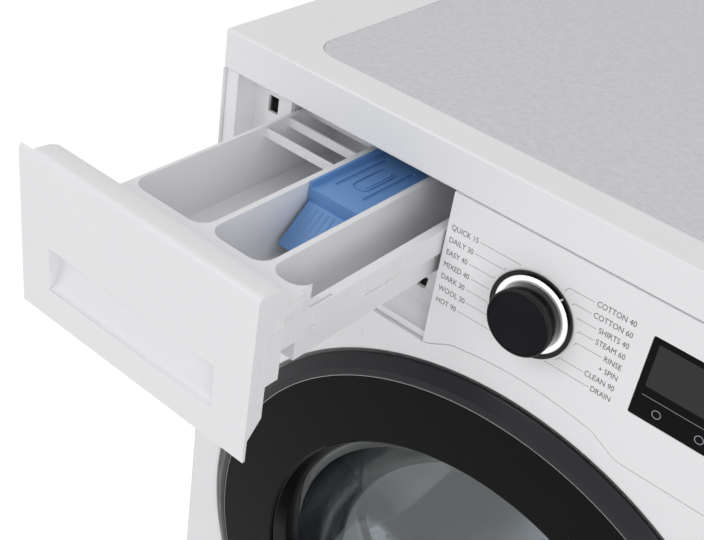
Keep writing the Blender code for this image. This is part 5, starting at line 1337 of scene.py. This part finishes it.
# ---- studio -----------------------------------------------------------------------------------
@dataclass(frozen=True)
class Lamp:
    """A soft rectangular light aimed at the machine's top front."""

    name: str
    place: tuple
    size: float
    power: float

    def build(self) -> bpy.types.Object:
        """Add the lamp.

        Returns:
            The lamp object.
        """
        data = bpy.data.lights.new(self.name, "AREA")
        data.shape = "SQUARE"
        data.size = self.size
        data.energy = self.power
        lamp = bpy.data.objects.new(self.name, data)
        lamp.location = self.place
        aim = Vector((-0.05, FRONT, 0.7)) - lamp.location
        lamp.rotation_euler = aim.to_track_quat("-Z", "Y").to_euler()
        bpy.context.scene.collection.objects.link(lamp)
        return lamp


@dataclass(frozen=True)
class Camera:
    """The view: place, heading, tilt and roll in degrees, and lens in millimetres."""

    place: tuple
    azimuth: float
    elevation: float
    roll: float
    lens: float

    def build(self) -> None:
        """Add the camera and make it the scene's."""
        data = bpy.data.cameras.new("camera")
        data.lens = self.lens
        data.sensor_width = 36
        data.clip_start, data.clip_end = 0.01, 100
        turn, tilt = math.radians(self.azimuth), math.radians(self.elevation)
        level_part = math.cos(tilt)
        ahead = Vector((-math.sin(turn) * level_part, math.cos(turn) * level_part, -math.sin(tilt)))
        level = ahead.cross(Vector((0, 0, 1))).normalized()
        upright = level.cross(ahead)
        roll = math.radians(self.roll)
        right = level * math.cos(roll) + upright * math.sin(roll)
        above = upright * math.cos(roll) - level * math.sin(roll)
        camera = bpy.data.objects.new("camera", data)
        camera.matrix_world = Matrix.Translation(self.place) @ Matrix(
            (right, above, -ahead)).transposed().to_4x4()
        bpy.context.scene.collection.objects.link(camera)
        bpy.context.scene.camera = camera


def studio() -> None:
    """White floor, even white surroundings and soft lights."""
    work = bmesh.new()
    bmesh.ops.create_grid(work, x_segments=1, y_segments=1, size=30)
    mesh = bpy.data.meshes.new("floor")
    work.to_mesh(mesh)
    work.free()
    floor = bpy.data.objects.new("floor", mesh)
    floor.location.z = -0.5 * MM
    mesh.materials.append(MATERIALS["floor"])
    bpy.context.scene.collection.objects.link(floor)
    world = bpy.data.worlds.new("studio")
    world.use_nodes = True
    nodes, links = world.node_tree.nodes, world.node_tree.links
    ray = nodes.new("ShaderNodeLightPath")
    strength = nodes.new("ShaderNodeMapRange")
    strength.inputs["To Min"].default_value, strength.inputs["To Max"].default_value = 0.62, 1.0
    links.new(ray.outputs["Is Camera Ray"], strength.inputs["Value"])
    links.new(strength.outputs["Result"], nodes["Background"].inputs["Strength"])
    nodes["Background"].inputs["Color"].default_value = linear("#FFFFFF")
    bpy.context.scene.world = world
    lamps = [Lamp("key", (-1.2, -2.0, 2.4), 1.2, 11.0), Lamp("fill", (2.2, -1.8, 1.7), 1.4, 12.0),
             Lamp("top", (0.4, 0.6, 3.2), 2.0, 3.0)]
    glow = bpy.data.lights.new("drum_light", "POINT")
    glow.energy, glow.shadow_soft_size = 2.2, 0.03
    bulb = bpy.data.objects.new("drum_light", glow)
    bulb.location = DOOR + Vector((0.05, 0.17, 0.17))
    bpy.context.scene.collection.objects.link(bulb)
    [lamp.build() for lamp in lamps]
    bpy.context.scene.view_settings.view_transform = "Standard"


def main() -> None:
    Cabinet().build()
    ControlPanel().build()
    Drawer().build()
    Door().build()
    WashGroup().build()
    Camera((0.2473, FRONT - 0.5756, 1.2053), 34.86, 35.06, 9.46, 59.02).build()
    studio()


if __name__ == "__main__":
    main()
